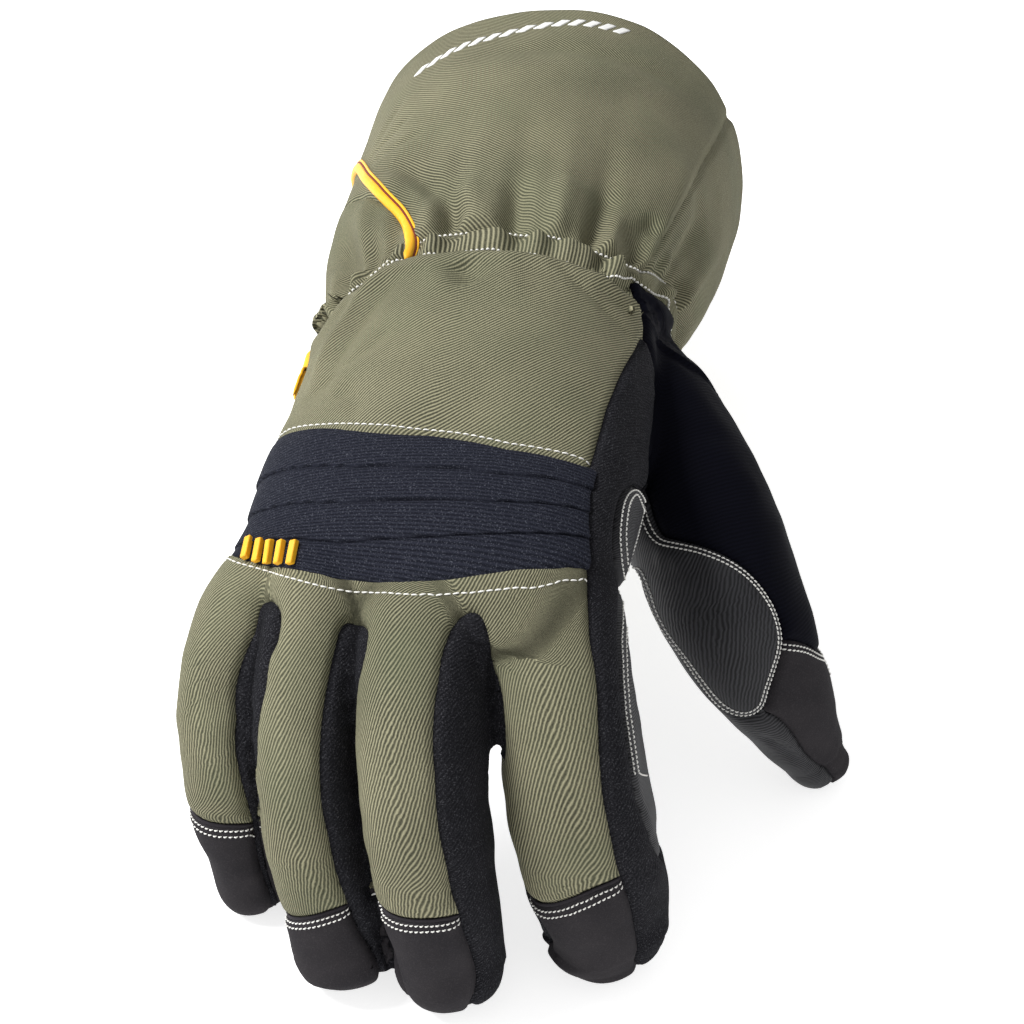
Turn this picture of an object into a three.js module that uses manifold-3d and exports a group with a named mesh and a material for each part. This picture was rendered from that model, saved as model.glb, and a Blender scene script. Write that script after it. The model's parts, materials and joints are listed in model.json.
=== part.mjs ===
// A padded winter work glove for the right hand, resting palm down on its fingertips, thumb tip and gauntlet.
// Millimetres, +Z up. The fingers point along -Y, the thumb lies on the +X side, and the floor is z = 0.
// The glove is sewn from panels. Here its hollow form is lofted from tables of sections, one row for each
// section, and is then cut along the seams, so that each panel is a curved wall with its own outline.
import * as THREE from 'three';
import { mergeVertices } from 'three/addons/utils/BufferGeometryUtils.js';
import Module from 'manifold-3d';

const wasm = await Module();
wasm.setup();

// Driving dimensions
const HAND_WALL = 3.2; // shell cloth with its padding
const FINGER_WALL = 2.8;
const CUFF_WALL = 2.4;
const SEAM_GAP = 0.4; // clear space between two panels
const TIP_DOME = 10.5; // length of the rounded end of a finger
const GATHER_DEPTH = 1.6; // how far the elastic pulls the cloth in between two puckers
const GATHER_COUNT = 16;
const PLEAT_DEPTH = 1.2; // the steps between the pleats of the knuckle band
const PIPING_RADIUS = 1.5;
const TAB_THICKNESS = 1.6;
const ORIGIN = { x: 6.22, y: 24.24 }; // the middle of the footprint, in the frame of the tables

// The sleeve runs from the rim of the gauntlet to the roots of the fingers. Each row is a section's centre, its
// half width and half height, how far its back is turned to the little-finger side, and how square it is.
const SLEEVE = [
  { name: 'rim', x: -22.6, y: 134, z: 39.5, halfWidth: 51, halfHeight: 47.5, turn: 8, square: 2.1 },
  { name: 'bell', x: -20, y: 102, z: 54, halfWidth: 50, halfHeight: 42.5, turn: 8, square: 2.1 },
  { name: 'flare', x: -16.5, y: 71, z: 66.5, halfWidth: 46, halfHeight: 35.5, turn: 8, square: 2.15 },
  { name: 'gather', x: -13.5, y: 40.5, z: 76, halfWidth: 41, halfHeight: 29, turn: 8, square: 2.2 },
  { name: 'wrist', x: -13, y: 33.5, z: 77.5, halfWidth: 41, halfHeight: 28.5, turn: 9, square: 2.2 },
  { name: 'heel', x: -12, y: 9, z: 79.5, halfWidth: 43, halfHeight: 27.5, turn: 10, square: 2.3 },
  { name: 'palm', x: -10, y: -20, z: 81.5, halfWidth: 44.5, halfHeight: 24, turn: 11, square: 2.35 },
  { name: 'knuckles', x: -8.5, y: -43, z: 80, halfWidth: 43.5, halfHeight: 20, turn: 12, square: 2.4 },
  { name: 'front', x: -9, y: -54.5, z: 72.5, halfWidth: 38, halfHeight: 13, turn: 12, square: 2.3 },
];
const GATHER_ROW = 3;
const WRIST_ROW = 4;

// Each finger starts inside the sleeve. Its rows are the root, the two joints, and the middle of the tip.
const FINGERS = {
  little: [
    { x: -40, y: -36, z: 77, halfWidth: 12, halfHeight: 12.5, turn: 20, square: 2.3 },
    { x: -48.5, y: -63.5, z: 57.5, halfWidth: 11.4, halfHeight: 12.5, turn: 26, square: 2.3 },
    { x: -46, y: -74.5, z: 33, halfWidth: 11.5, halfHeight: 12, turn: 28, square: 2.4 },
    { x: -42, y: -78, z: 9.5, halfWidth: 9.5, halfHeight: 10, turn: 28, square: 2.6 },
  ],
  ring: [
    { x: -30, y: -42, z: 82, halfWidth: 13.6, halfHeight: 14, turn: 20, square: 2.3 },
    { x: -28, y: -71, z: 61, halfWidth: 12.6, halfHeight: 14, turn: 26, square: 2.3 },
    { x: -23.8, y: -85, z: 35.5, halfWidth: 12.2, halfHeight: 13.5, turn: 28, square: 2.4 },
    { x: -15.6, y: -93, z: 10, halfWidth: 11, halfHeight: 11.5, turn: 28, square: 2.6 },
  ],
  middle: [
    { x: -8, y: -43, z: 85.5, halfWidth: 15.2, halfHeight: 15, turn: 20, square: 2.3 },
    { x: -1.2, y: -76.5, z: 67, halfWidth: 14.4, halfHeight: 15, turn: 28, square: 2.3 },
    { x: 4, y: -88.5, z: 40, halfWidth: 14.2, halfHeight: 14.5, turn: 30, square: 2.4 },
    { x: 8.7, y: -93, z: 10.3, halfWidth: 12.5, halfHeight: 12.5, turn: 30, square: 2.6 },
  ],
  index: [
    { x: 16.5, y: -38, z: 87, halfWidth: 16.4, halfHeight: 16, turn: 18, square: 2.3 },
    { x: 29.5, y: -64, z: 67, halfWidth: 16.4, halfHeight: 15.5, turn: 28, square: 2.3 },
    { x: 37, y: -74, z: 40, halfWidth: 16, halfHeight: 15, turn: 30, square: 2.4 },
    { x: 41.5, y: -75.5, z: 11, halfWidth: 13.5, halfHeight: 13, turn: 30, square: 2.6 },
  ],
};

// The thumb starts inside the wrist, and its nail side is turned outwards.
const THUMB = [
  { x: 12, y: 38, z: 71, halfWidth: 14, halfHeight: 18, turn: -45, square: 2.1 },
  { x: 28.5, y: 27, z: 67, halfWidth: 16.8, halfHeight: 18.5, turn: -45, square: 2.1 },
  { x: 42, y: 12, z: 61, halfWidth: 18, halfHeight: 19, turn: -45, square: 2.1 },
  { x: 54.7, y: -5.6, z: 48.5, halfWidth: 17.5, halfHeight: 18, turn: -45, square: 2.1 },
  { x: 66.5, y: -12.5, z: 31, halfWidth: 13.5, halfHeight: 13.5, turn: -45, square: 2.1 },
  { x: 76.5, y: -12, z: 10, halfWidth: 8.5, halfHeight: 8.5, turn: -45, square: 2.1 },
];

// A value or a section between two rows, on a smooth curve through all of them. Beyond the last row the
// section stays the same and its centre runs straight on, a row for each TIP_DOME.
const COLUMNS = ['x', 'y', 'z', 'halfWidth', 'halfHeight', 'turn', 'square'];

function between(rows, place) {
  const last = rows.length - 1;
  const inside = THREE.MathUtils.clamp(place, 0, last);
  const i = Math.min(Math.floor(inside), last - 1);
  const u = inside - i;
  const row = {};
  for (const key of COLUMNS) {
    const b = rows[i][key];
    const c = rows[i + 1][key];
    const a = i > 0 ? rows[i - 1][key] : 2 * b - c;
    const d = i + 2 <= last ? rows[i + 2][key] : 2 * c - b;
    row[key] = b + 0.5 * u * (c - a + u * (2 * a - 5 * b + 4 * c - d + u * (3 * (b - c) + d - a)));
  }
  return row;
}

// A section's centre, the way along the tube, and the directions of its radial side and of its back.
function sectionAt(rows, place) {
  const last = rows.length - 1;
  const row = between(rows, place);
  const before = between(rows, Math.min(place, last) - 0.02);
  const after = between(rows, Math.min(Math.max(place, 0) + 0.02, last));
  const along = new THREE.Vector3(after.x - before.x, after.y - before.y, after.z - before.z).normalize();
  const back = new THREE.Vector3(0, 0, 1).addScaledVector(along, -along.z).normalize();
  const side = new THREE.Vector3().crossVectors(back, along);
  const turn = THREE.MathUtils.degToRad(row.turn);
  back.applyAxisAngle(along, turn);
  side.applyAxisAngle(along, turn);
  const beyond = place > last ? place - last : Math.min(place, 0);
  const centre = new THREE.Vector3(row.x, row.y, row.z).addScaledVector(along, beyond * TIP_DOME);
  return { ...row, centre, along, back, side };
}

// The point of a section at an angle in degrees: 0 is the back, 90 the thumb's side and 180 the palm.
function pointOn(section, angle, shrink = 0, scale = 1) {
  const a = THREE.MathUtils.degToRad(angle);
  const power = 2 / section.square;
  const across = Math.sign(Math.sin(a)) * Math.abs(Math.sin(a)) ** power;
  const up = Math.sign(Math.cos(a)) * Math.abs(Math.cos(a)) ** power;
  return section.centre
    .clone()
    .addScaledVector(section.side, across * (section.halfWidth - shrink) * scale)
    .addScaledVector(section.back, up * (section.halfHeight - shrink) * scale);
}

// A closed solid from points and triangles.
function solidFrom(points, triangles) {
  const vertProperties = new Float32Array(points.flatMap((p) => [p.x, p.y, p.z]));
  return new wasm.Manifold(
    new wasm.Mesh({ numProp: 3, vertProperties, triVerts: new Uint32Array(triangles) }),
  );
}

// The same, with its faces turned outwards whichever way its triangles run.
function outwardSolid(points, triangles) {
  const solid = solidFrom(points, triangles);
  return solid.volume() > 0 ? solid : solidFrom(points, triangles.reverse());
}

// Rings of points joined into a closed tube, its two ends filled from a point at the middle of each end ring.
function tubeFrom(rings) {
  const count = rings[0].length;
  const points = rings.flat();
  const triangles = [];
  for (let i = 0; i + 1 < rings.length; i++) {
    for (let j = 0; j < count; j++) {
      const a = i * count + j;
      const b = i * count + ((j + 1) % count);
      triangles.push(a, b, a + count, b, b + count, a + count);
    }
  }
  for (const [start, flip] of [[0, false], [(rings.length - 1) * count, true]]) {
    const middle = points.length;
    const centre = new THREE.Vector3();
    for (let j = 0; j < count; j++) centre.addScaledVector(points[start + j], 1 / count);
    points.push(centre);
    for (let j = 0; j < count; j++) {
      const a = start + j;
      const b = start + ((j + 1) % count);
      triangles.push(...(flip ? [middle, a, b] : [middle, b, a]));
    }
  }
  return outwardSolid(points, triangles);
}

// Cloth that reaches the floor lies flat on it, with the wall above.
function onFloor(point, wall) {
  point.z = Math.max(point.z, wall);
  return point;
}

// How far the elastic's puckers stand in or out on the sleeve.
function puckers(place, angle) {
  const fade = Math.max(0, 1 - Math.max(0, GATHER_ROW - place) / 1.5) ** 2;
  return GATHER_DEPTH * fade * Math.cos(THREE.MathUtils.degToRad(angle * GATHER_COUNT));
}

// How far the knuckle band's pleats stand in, each dropping back to where the next one starts.
const BAND = { start: 6.02, end: 7.42, pleats: 4 };

function pleats(place) {
  const inBand = THREE.MathUtils.clamp((place - BAND.start) / (BAND.end - BAND.start), 0, 0.999);
  return -PLEAT_DEPTH * ((inBand * BAND.pleats) % 1);
}

// A closed tube along some rows, from a list of rings, each a place and a scale of its section.
function formFrom(rows, rings, sides, shrink, bumps = () => 0) {
  return tubeFrom(
    rings.map(({ place, scale = 1 }) => {
      const section = sectionAt(rows, place);
      return Array.from({ length: sides }, (_, j) => {
        const angle = (360 * j) / sides;
        return onFloor(pointOn(section, angle, shrink - bumps(place, angle), scale), shrink);
      });
    }),
  );
}

// The rings of a finger or the thumb: even ones to the last row, and then a dome.
function digitRings(rows, shrink, steps) {
  const last = rows.length - 1;
  const rings = [];
  for (let i = 0; i <= steps; i++) rings.push({ place: (last * i) / steps });
  for (const lean of [38, 70]) {
    const a = THREE.MathUtils.degToRad(lean);
    rings.push({ place: last + Math.sin(a) * (1 - shrink / TIP_DOME), scale: Math.cos(a) ** 0.6 });
  }
  return rings;
}

const at = (place) => ({ place });
const FRONT_ROW = SLEEVE.length - 1;
const frontDome = [{ place: FRONT_ROW + 0.45, scale: 0.84 }, { place: FRONT_ROW + 0.7, scale: 0.55 }];

// The gauntlet with its gather, hollow from end to end.
const cuffRings = [0, 0.17, 0.9, 1.7, 2.4, GATHER_ROW, WRIST_ROW].map(at);
const outerCuff = formFrom(SLEEVE, cuffRings, 3 * GATHER_COUNT, 0, puckers);
const innerCuff = formFrom(SLEEVE, [-0.5, 0.17, 1, 2, GATHER_ROW, 4.2].map(at), 18, CUFF_WALL + GATHER_DEPTH);

// The hand with its fingers and thumb, open at the wrist.
const outerHand = [
  formFrom(SLEEVE, [...[WRIST_ROW, 4.5, 5.2, 6, 6.7, 7.4, FRONT_ROW].map(at), ...frontDome], 26, 0),
  formFrom(THUMB, digitRings(THUMB, 0, 6), 12, 0),
];
const innerHand = [
  formFrom(SLEEVE, [WRIST_ROW - 0.3, 5, 6, 7, FRONT_ROW].map(at), 14, HAND_WALL),
  formFrom(THUMB, digitRings(THUMB, FINGER_WALL, 5), 8, FINGER_WALL).subtract(wristBlock(-60, HAND_WALL)),
];
for (const rows of Object.values(FINGERS)) {
  outerHand.push(formFrom(rows, digitRings(rows, 0, 4), 12, 0));
  innerHand.push(formFrom(rows, digitRings(rows, FINGER_WALL, 3), 8, FINGER_WALL));
}

// A block across the wrist, between two planes that stand off from its section by the given distances.
function wristBlock(from, to) {
  const section = sectionAt(SLEEVE, WRIST_ROW);
  const ring = Array.from({ length: 8 }, (_, j) => pointOn(section, 45 * j, 0, 1.8));
  return tubeFrom([from, to].map((offset) => ring.map((p) => p.clone().addScaledVector(section.along, offset))));
}

// What is left of each hollow form as the panels are cut from it. The hand ends at the wrist's plane, but the
// root of the thumb bulges on past it, on the outside of the gather.
const innerHandForm = wasm.Manifold.union(innerHand);
const clearOfCuff = formFrom(SLEEVE, cuffRings, 3 * GATHER_COUNT, -SEAM_GAP, puckers);
const rest = {
  cuff: outerCuff.subtract(innerCuff).subtract(wristBlock(-SEAM_GAP, 20)),
  hand: wasm.Manifold.union(outerHand).subtract(innerHandForm).subtract(wristBlock(-60, 0).intersect(clearOfCuff)),
};

// A value that changes along an edge: a list is spread evenly over it.
function spread(value, t) {
  if (!Array.isArray(value)) return value;
  const position = THREE.MathUtils.clamp(t, 0, 1) * (value.length - 1);
  const i = Math.min(Math.floor(position), value.length - 2);
  return value[i] + (value[i + 1] - value[i]) * (position - i);
}

// A cutter is a wedge of a tube, from its middle line outwards, between two places and two angles. For the cut
// itself the wedge is grown by a margin: it is moved back from its opening, and its ends are moved outwards.
function wedge(rows, region, margin) {
  const { from, to, low, high, steps = 4, turns = 4, reach = 1.22 } = region;
  const middle = (spread(from, 0.5) + spread(to, 0.5)) / 2;
  const placeLength = sectionAt(rows, middle).centre.distanceTo(sectionAt(rows, middle + 0.1).centre) / 0.1;
  const placeMargin = margin / placeLength;
  const points = [];
  const axis = [];
  for (let i = 0; i <= steps; i++) {
    const first = spread(low, i / steps);
    const final = spread(high, i / steps);
    const setBack = -margin / Math.sin(THREE.MathUtils.degToRad((final - first) / 2));
    for (let j = 0; j <= turns; j++) {
      const start = spread(from, j / turns) - placeMargin;
      const end = spread(to, j / turns) + placeMargin;
      const section = sectionAt(rows, start + ((end - start) * i) / steps);
      const facing = pointOn(section, (first + final) / 2).sub(section.centre).normalize();
      const point = pointOn(section, first + ((final - first) * j) / turns, 0, reach);
      points.push(point.addScaledVector(facing, setBack));
      if (j === turns >> 1) axis.push(section.centre.addScaledVector(facing, setBack));
    }
  }
  const row = turns + 1;
  const base = points.length;
  const triangles = [];
  for (let i = 0; i < steps; i++) {
    const left = i * row;
    const right = i * row + turns;
    for (let a = left; a < right; a++) triangles.push(a, a + 1, a + row, a + 1, a + row + 1, a + row);
    triangles.push(base + i, left, base + i + 1, left, left + row, base + i + 1);
    triangles.push(base + i, base + i + 1, right, right, base + i + 1, right + row);
  }
  for (let j = 0; j < turns; j++) {
    const end = steps * row + j;
    triangles.push(base, j + 1, j);
    triangles.push(base + steps, end, end + 1);
  }
  return outwardSolid([...points, ...axis], triangles);
}

// The largest single body of a solid, without the slivers that a cut leaves.
function mainBody(solid) {
  return solid.decompose().reduce((a, b) => (b.volume() > a.volume() ? b : a));
}

const glove = new THREE.Group();
glove.position.set(-ORIGIN.x, -ORIGIN.y, 0);

function addMesh(name, solid, material) {
  const mesh = solid.getMesh();
  const flat = new Float32Array(mesh.numVert * 3);
  for (let i = 0; i < mesh.numVert; i++) {
    flat.set(mesh.vertProperties.subarray(i * mesh.numProp, i * mesh.numProp + 3), i * 3);
  }
  const geometry = new THREE.BufferGeometry();
  geometry.setAttribute('position', new THREE.BufferAttribute(flat, 3));
  geometry.setIndex(new THREE.BufferAttribute(mesh.triVerts, 1));
  const node = new THREE.Mesh(mergeVertices(geometry, 1e-3), material);
  node.name = name;
  glove.add(node);
}

// Cuts one panel out of what is left of a hollow form. A panel's regions are each on the sleeve or a digit. One
// with a surface of its own is cut from that instead, and leaves the same hole.
function cutPanel(name, form, regions, material, own) {
  const cutter = (margin) => wasm.Manifold.union(regions.map(([rows, region]) => wedge(rows, region, margin)));
  const exact = cutter(0);
  addMesh(name, mainBody((own ?? rest[form]).intersect(exact)), material);
  rest[form] = rest[form].subtract(wasm.Manifold.union([exact, cutter(SEAM_GAP)]));
}

const cloth = (color, roughness = 0.85) => new THREE.MeshStandardMaterial({ color, roughness, metalness: 0 });
const OLIVE = cloth('#62644c');
const BAND_BLACK = cloth('#1b1e2b');
const STRETCH_BLACK = cloth('#12121a', 0.7);
const FLEECE_BLACK = cloth('#1a1a1c');
const LEATHER_BLACK = cloth('#161617', 0.55);
const CAP_GREY = cloth('#353434');
const YELLOW = cloth('#f0b418', 0.5);

// Yellow cord sewn into the seam on the little finger's side, in two stretches: on the gauntlet it runs under
// the fold of the hand's cloth, and it comes out again on the edge of the hand.
const PIPED_SEAM = [-95, -82, -55, -38, -24];
const PIPINGS = {
  gauntlet_piping: [[0.1, -93], [0.75, -80], [1.5, -53], [2.3, -35], [3, -22], [3.5, -21], [3.85, -22]],
  hand_piping: [[4.5, -79], [4.8, -80], [5.1, -80], [5.4, -82]],
};

function cordAlong(stops, radius) {
  const points = stops.map(([place, angle]) => pointOn(sectionAt(SLEEVE, place), angle, 0.2));
  const circle = new THREE.Shape().absarc(0, 0, radius, 0, 2 * Math.PI);
  const geometry = new THREE.ExtrudeGeometry(circle, {
    curveSegments: 4,
    steps: 3 * (stops.length - 1),
    bevelEnabled: false,
    extrudePath: new THREE.CatmullRomCurve3(points),
  });
  geometry.deleteAttribute('normal');
  geometry.deleteAttribute('uv');
  const merged = mergeVertices(geometry, 1e-3);
  const places = merged.getAttribute('position');
  const corners = Array.from({ length: places.count }, (_, i) => new THREE.Vector3().fromBufferAttribute(places, i));
  return outwardSolid(corners, Array.from(merged.index.array));
}
for (const [name, stops] of Object.entries(PIPINGS)) {
  addMesh(name, cordAlong(stops, PIPING_RADIUS), YELLOW);
  const groove = cordAlong(stops, PIPING_RADIUS + SEAM_GAP);
  for (const form of Object.keys(rest)) rest[form] = rest[form].subtract(groove);
}

// Fingertip caps and the backs of the fingers. `cap` is where a cap starts, from the little finger's side to the
// thumb's side, and `edge` is the angle of the back's edge on the thumb's side, from the root to the cap.
const FINGER_BACKS = {
  little: { cap: [2.08, 2.12], low: -100, edge: [34, 40, 38, 33, 30] },
  ring: { cap: [2.56, 2.42], low: -80, edge: [40, 42, 37, 30, 20] },
  middle: { cap: [2.28, 2.2], low: -80, edge: [20, 37, 33, 27, 24] },
  index: { cap: [2.34, 1.97], low: -84, edge: [47, 44, 37, 27, 18] },
};
for (const [name, { cap, low, edge }] of Object.entries(FINGER_BACKS)) {
  const high = edge.at(-1);
  const region = { from: cap, to: 4.3, low, high: [high, high - 6], reach: 1.4, steps: 3 };
  cutPanel(name + '_cap', 'hand', [[FINGERS[name], region]], CAP_GREY);
}

// The back of the hand, the knuckle band across it, and the backs of the fingers with the web above them.
const BAND_TOP = [5.6, 5.78, 6, 6.18, 6.16];
const BAND_BOTTOM = [7.05, 7.36, 7.42, 7.17, 6.98];
const pleatRings = Array.from({ length: BAND.pleats }, (_, k) => {
  const step = (BAND.end - BAND.start) / BAND.pleats;
  return [BAND.start + k * step + 0.001, BAND.start + (k + 1) * step - 0.001];
}).flat();
const pleatedForm = formFrom(SLEEVE, [5.2, BAND.start - 0.001, ...pleatRings, BAND.end, 7.8].map(at), 28, 0, pleats);
cutPanel(
  'knuckle_band',
  'hand',
  [[SLEEVE, { from: BAND_TOP, to: BAND_BOTTOM, low: [-88, -98], high: [55, 54, 57, 64], steps: 3, turns: 6 }]],
  BAND_BLACK,
  pleatedForm.subtract(innerHandForm),
);
const HAND_LEFT = [-62, -70, -72, -78, -88];
const HAND_RIGHT = [68, 77, 68, 59, 55];
cutPanel(
  'hand_back_panel',
  'hand',
  [[SLEEVE, { from: WRIST_ROW - 0.1, to: BAND_TOP, low: HAND_LEFT, high: HAND_RIGHT, turns: 6 }]],
  OLIVE,
);
cutPanel(
  'finger_back_panel',
  'hand',
  [
    [SLEEVE, { from: BAND_BOTTOM, to: FRONT_ROW + 0.5, low: -98, high: [64, 74], turns: 6, steps: 1 }],
    ...Object.entries(FINGER_BACKS).map(([name, { cap, low, edge }]) => [
      FINGERS[name],
      { from: 0.1, to: cap, low, high: edge },
    ]),
  ],
  OLIVE,
);

// The sides between two fingers, each a strip that runs down one finger, round the crotch and up the other.
const thumbSide = { from: 0, to: 3.9, low: 8, high: 122, steps: 3 };
const littleSide = { from: 0, to: 3.9, low: -128, high: -62, steps: 3 };
for (const [first, second] of [['little', 'ring'], ['ring', 'middle'], ['middle', 'index']]) {
  cutPanel(
    'fourchette_' + first + '_' + second,
    'hand',
    [[FINGERS[first], thumbSide], [FINGERS[second], littleSide]],
    FLEECE_BLACK,
  );
}

// The thumb: its cap, the ridged patch that faces the index finger, and its stretch back.
const THUMB_CAP = [4.12, 3.92, 3.58, 3.88, 3.92, 3.92, 3.92];
cutPanel(
  'thumb_cap',
  'hand',
  [[THUMB, { from: THUMB_CAP, to: 6.2, low: -118, high: 120, turns: 6, steps: 2, reach: 1.5 }]],
  CAP_GREY,
);
const PATCH_TOP = [2.75, 2.42, 2.32, 2.54, 2.9];
const PATCH_BOTTOM = [3.6, 3.84, 3.86, 3.66, 3.3];
cutPanel(
  'thumb_patch',
  'hand',
  [[THUMB, { from: PATCH_TOP, to: PATCH_BOTTOM, low: -160, high: -46, turns: 8, steps: 2 }]],
  LEATHER_BLACK,
);
cutPanel(
  'thumb_back_panel',
  'hand',
  [[THUMB, { from: 0.1, to: 4, low: [-45, -48, -60, -76, -92, -106, -60, -50, -40], high: 135, steps: 8, turns: 5 }]],
  STRETCH_BLACK,
);
cutPanel(
  'index_side_panel',
  'hand',
  [
    [SLEEVE, { from: WRIST_ROW, to: 7.6, low: 40, high: [82, 88, 92, 102, 104], steps: 4 }],
    [FINGERS.index, { from: 0.3, to: 3.9, low: 5, high: [110, 96, 88, 80, 76, 78], steps: 5 }],
  ],
  FLEECE_BLACK,
);

// The gauntlet: its back and its underside meet at the piped seam and at a plain seam by the thumb.
const THUMB_SEAM = [69, 67, 65, 62, 60];
const gauntlet = { from: -0.5, to: GATHER_ROW, steps: 4 };
cutPanel(
  'gauntlet_back',
  'cuff',
  [[SLEEVE, { ...gauntlet, low: PIPED_SEAM, high: THUMB_SEAM, turns: 6 }]],
  OLIVE,
);
const underside = { low: THUMB_SEAM.map((a) => a - 4), high: PIPED_SEAM.map((a) => a + 364) };
cutPanel('gauntlet_underside', 'cuff', [[SLEEVE, { ...gauntlet, ...underside, turns: 8 }]], OLIVE);
addMesh('wrist_gather', mainBody(rest.cuff), OLIVE);
addMesh('palm_panel', mainBody(rest.hand), LEATHER_BLACK);

// A small moulded tab on the band: three raised bars on a thin base that follows the cloth.
const TAB = { upper: [6.72, 7.04], lower: [7.1, 7.34], low: -70, high: -28, columns: 12, lift: 0.4 };
function tabSolid() {
  const outer = [];
  const inner = [];
  for (const edge of [TAB.upper, TAB.lower]) {
    for (let j = 0; j <= TAB.columns; j++) {
      const section = sectionAt(SLEEVE, spread(edge, j / TAB.columns));
      const angle = TAB.low + ((TAB.high - TAB.low) * j) / TAB.columns;
      const raised = j % 4 === 1 || j % 4 === 2;
      outer.push(pointOn(section, angle, -(raised ? TAB_THICKNESS : TAB_THICKNESS - 0.7)));
      inner.push(pointOn(section, angle, -TAB.lift));
    }
  }
  const row = TAB.columns + 1;
  const under = outer.length;
  const triangles = [];
  for (let j = 0; j < TAB.columns; j++) {
    triangles.push(j, j + 1, j + row, j + 1, j + row + 1, j + row);
    triangles.push(under + j, under + j + row, under + j + 1, under + j + 1, under + j + row, under + j + row + 1);
    triangles.push(j, under + j, j + 1, j + 1, under + j, under + j + 1);
    triangles.push(j + row, j + row + 1, under + j + row, j + row + 1, under + j + row + 1, under + j + row);
  }
  triangles.push(0, row, under, under, row, under + row);
  const end = TAB.columns;
  triangles.push(end, under + end, end + row, end + row, under + end, under + end + row);
  return outwardSolid([...outer, ...inner], triangles);
}
addMesh('band_tab', tabSolid(), YELLOW);

export default glove;
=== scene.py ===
# %% [markdown]
# # A padded winter work glove
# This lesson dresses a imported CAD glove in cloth. The CAD model gives the size and every seam. Blender adds what
# a sewn glove shows: puffed panels, pinched seams, puckers, folds, stitches and the weave of each cloth.
# Lengths in the tables are millimetres, as a pattern maker writes them, and Blender's own unit is the metre.

# %% Load the frame
import json

import bpy
import numpy as np
from mathutils import Matrix, Vector
from mathutils.bvhtree import BVHTree
from mathutils.kdtree import KDTree


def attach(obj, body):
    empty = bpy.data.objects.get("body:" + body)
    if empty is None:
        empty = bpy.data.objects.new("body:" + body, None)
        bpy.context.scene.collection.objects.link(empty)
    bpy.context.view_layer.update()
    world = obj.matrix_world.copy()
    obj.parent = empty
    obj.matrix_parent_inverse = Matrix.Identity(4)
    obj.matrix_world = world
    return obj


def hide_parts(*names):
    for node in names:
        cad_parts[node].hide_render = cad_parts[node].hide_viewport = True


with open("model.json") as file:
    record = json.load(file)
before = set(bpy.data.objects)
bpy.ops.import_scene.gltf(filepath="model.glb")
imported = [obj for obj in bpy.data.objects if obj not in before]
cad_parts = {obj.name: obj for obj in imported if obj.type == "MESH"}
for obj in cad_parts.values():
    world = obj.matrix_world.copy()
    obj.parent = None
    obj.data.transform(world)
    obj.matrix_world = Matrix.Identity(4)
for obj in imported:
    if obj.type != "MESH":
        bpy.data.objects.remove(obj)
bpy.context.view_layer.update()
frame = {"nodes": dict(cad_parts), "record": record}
MM = 0.001
print("loaded", len(frame["nodes"]), "nodes")

# %% [markdown]
# ## The camera
# The glove was photographed from above its fingertips, with a long lens that keeps its sides nearly parallel.
# A camera's matrix holds its right, up and backward directions as columns, and then its place.

# %% Camera
VIEW_TURN = np.radians(14)
VIEW_DOWN = np.radians(47)
VIEW_TARGET = np.array([-6.22, -24.24, 60.0])
VIEW_DISTANCE = 1000.0
forward = np.array(
    [-np.sin(VIEW_TURN) * np.cos(VIEW_DOWN), np.cos(VIEW_TURN) * np.cos(VIEW_DOWN), -np.sin(VIEW_DOWN)]
)
rightward = np.array([np.cos(VIEW_TURN), np.sin(VIEW_TURN), 0.0])
upward = np.cross(rightward, forward)
eye = (VIEW_TARGET - forward * VIEW_DISTANCE) * MM
camera_data = bpy.data.cameras.new("photo_camera")
camera_data.lens = 150
camera_data.sensor_width = 36
camera = bpy.data.objects.new("photo_camera", camera_data)
bpy.context.collection.objects.link(camera)
turn = Matrix((rightward, upward, -forward)).transposed()
camera.matrix_world = Matrix.Translation(Vector(eye)) @ turn.to_4x4()
bpy.context.scene.camera = camera
PHOTO_SIZE = 1024
PIXEL_MM = 0.235
FOCAL_PIXELS = camera_data.lens / camera_data.sensor_width * PHOTO_SIZE


def photo_pixels(points):
    """Where points, in millimetres, fall in the photograph."""
    away = points - eye / MM
    screen = np.stack([away @ rightward, -(away @ upward)], axis=1)
    return PHOTO_SIZE / 2 + FOCAL_PIXELS * screen / (away @ forward)[:, None]


def camera_ray(x, y):
    """Where the camera stands and the direction of one pixel, for a ray cast."""
    middle = PHOTO_SIZE // 2
    ray = forward + rightward * (x - middle) / FOCAL_PIXELS - upward * (y - middle) / FOCAL_PIXELS
    return Vector(eye / MM), Vector(ray).normalized()


# %% [markdown]
# ## The form under the cloth
# A glove's form is a set of tubes. Each table row is one section of a tube: its centre, half width, half height,
# how far its back is turned, and how square it is. A smooth curve runs through the rows, so a place such as 2.5
# lies halfway from row 2 to row 3. The rows are the ones that the CAD model was built from.

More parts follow.
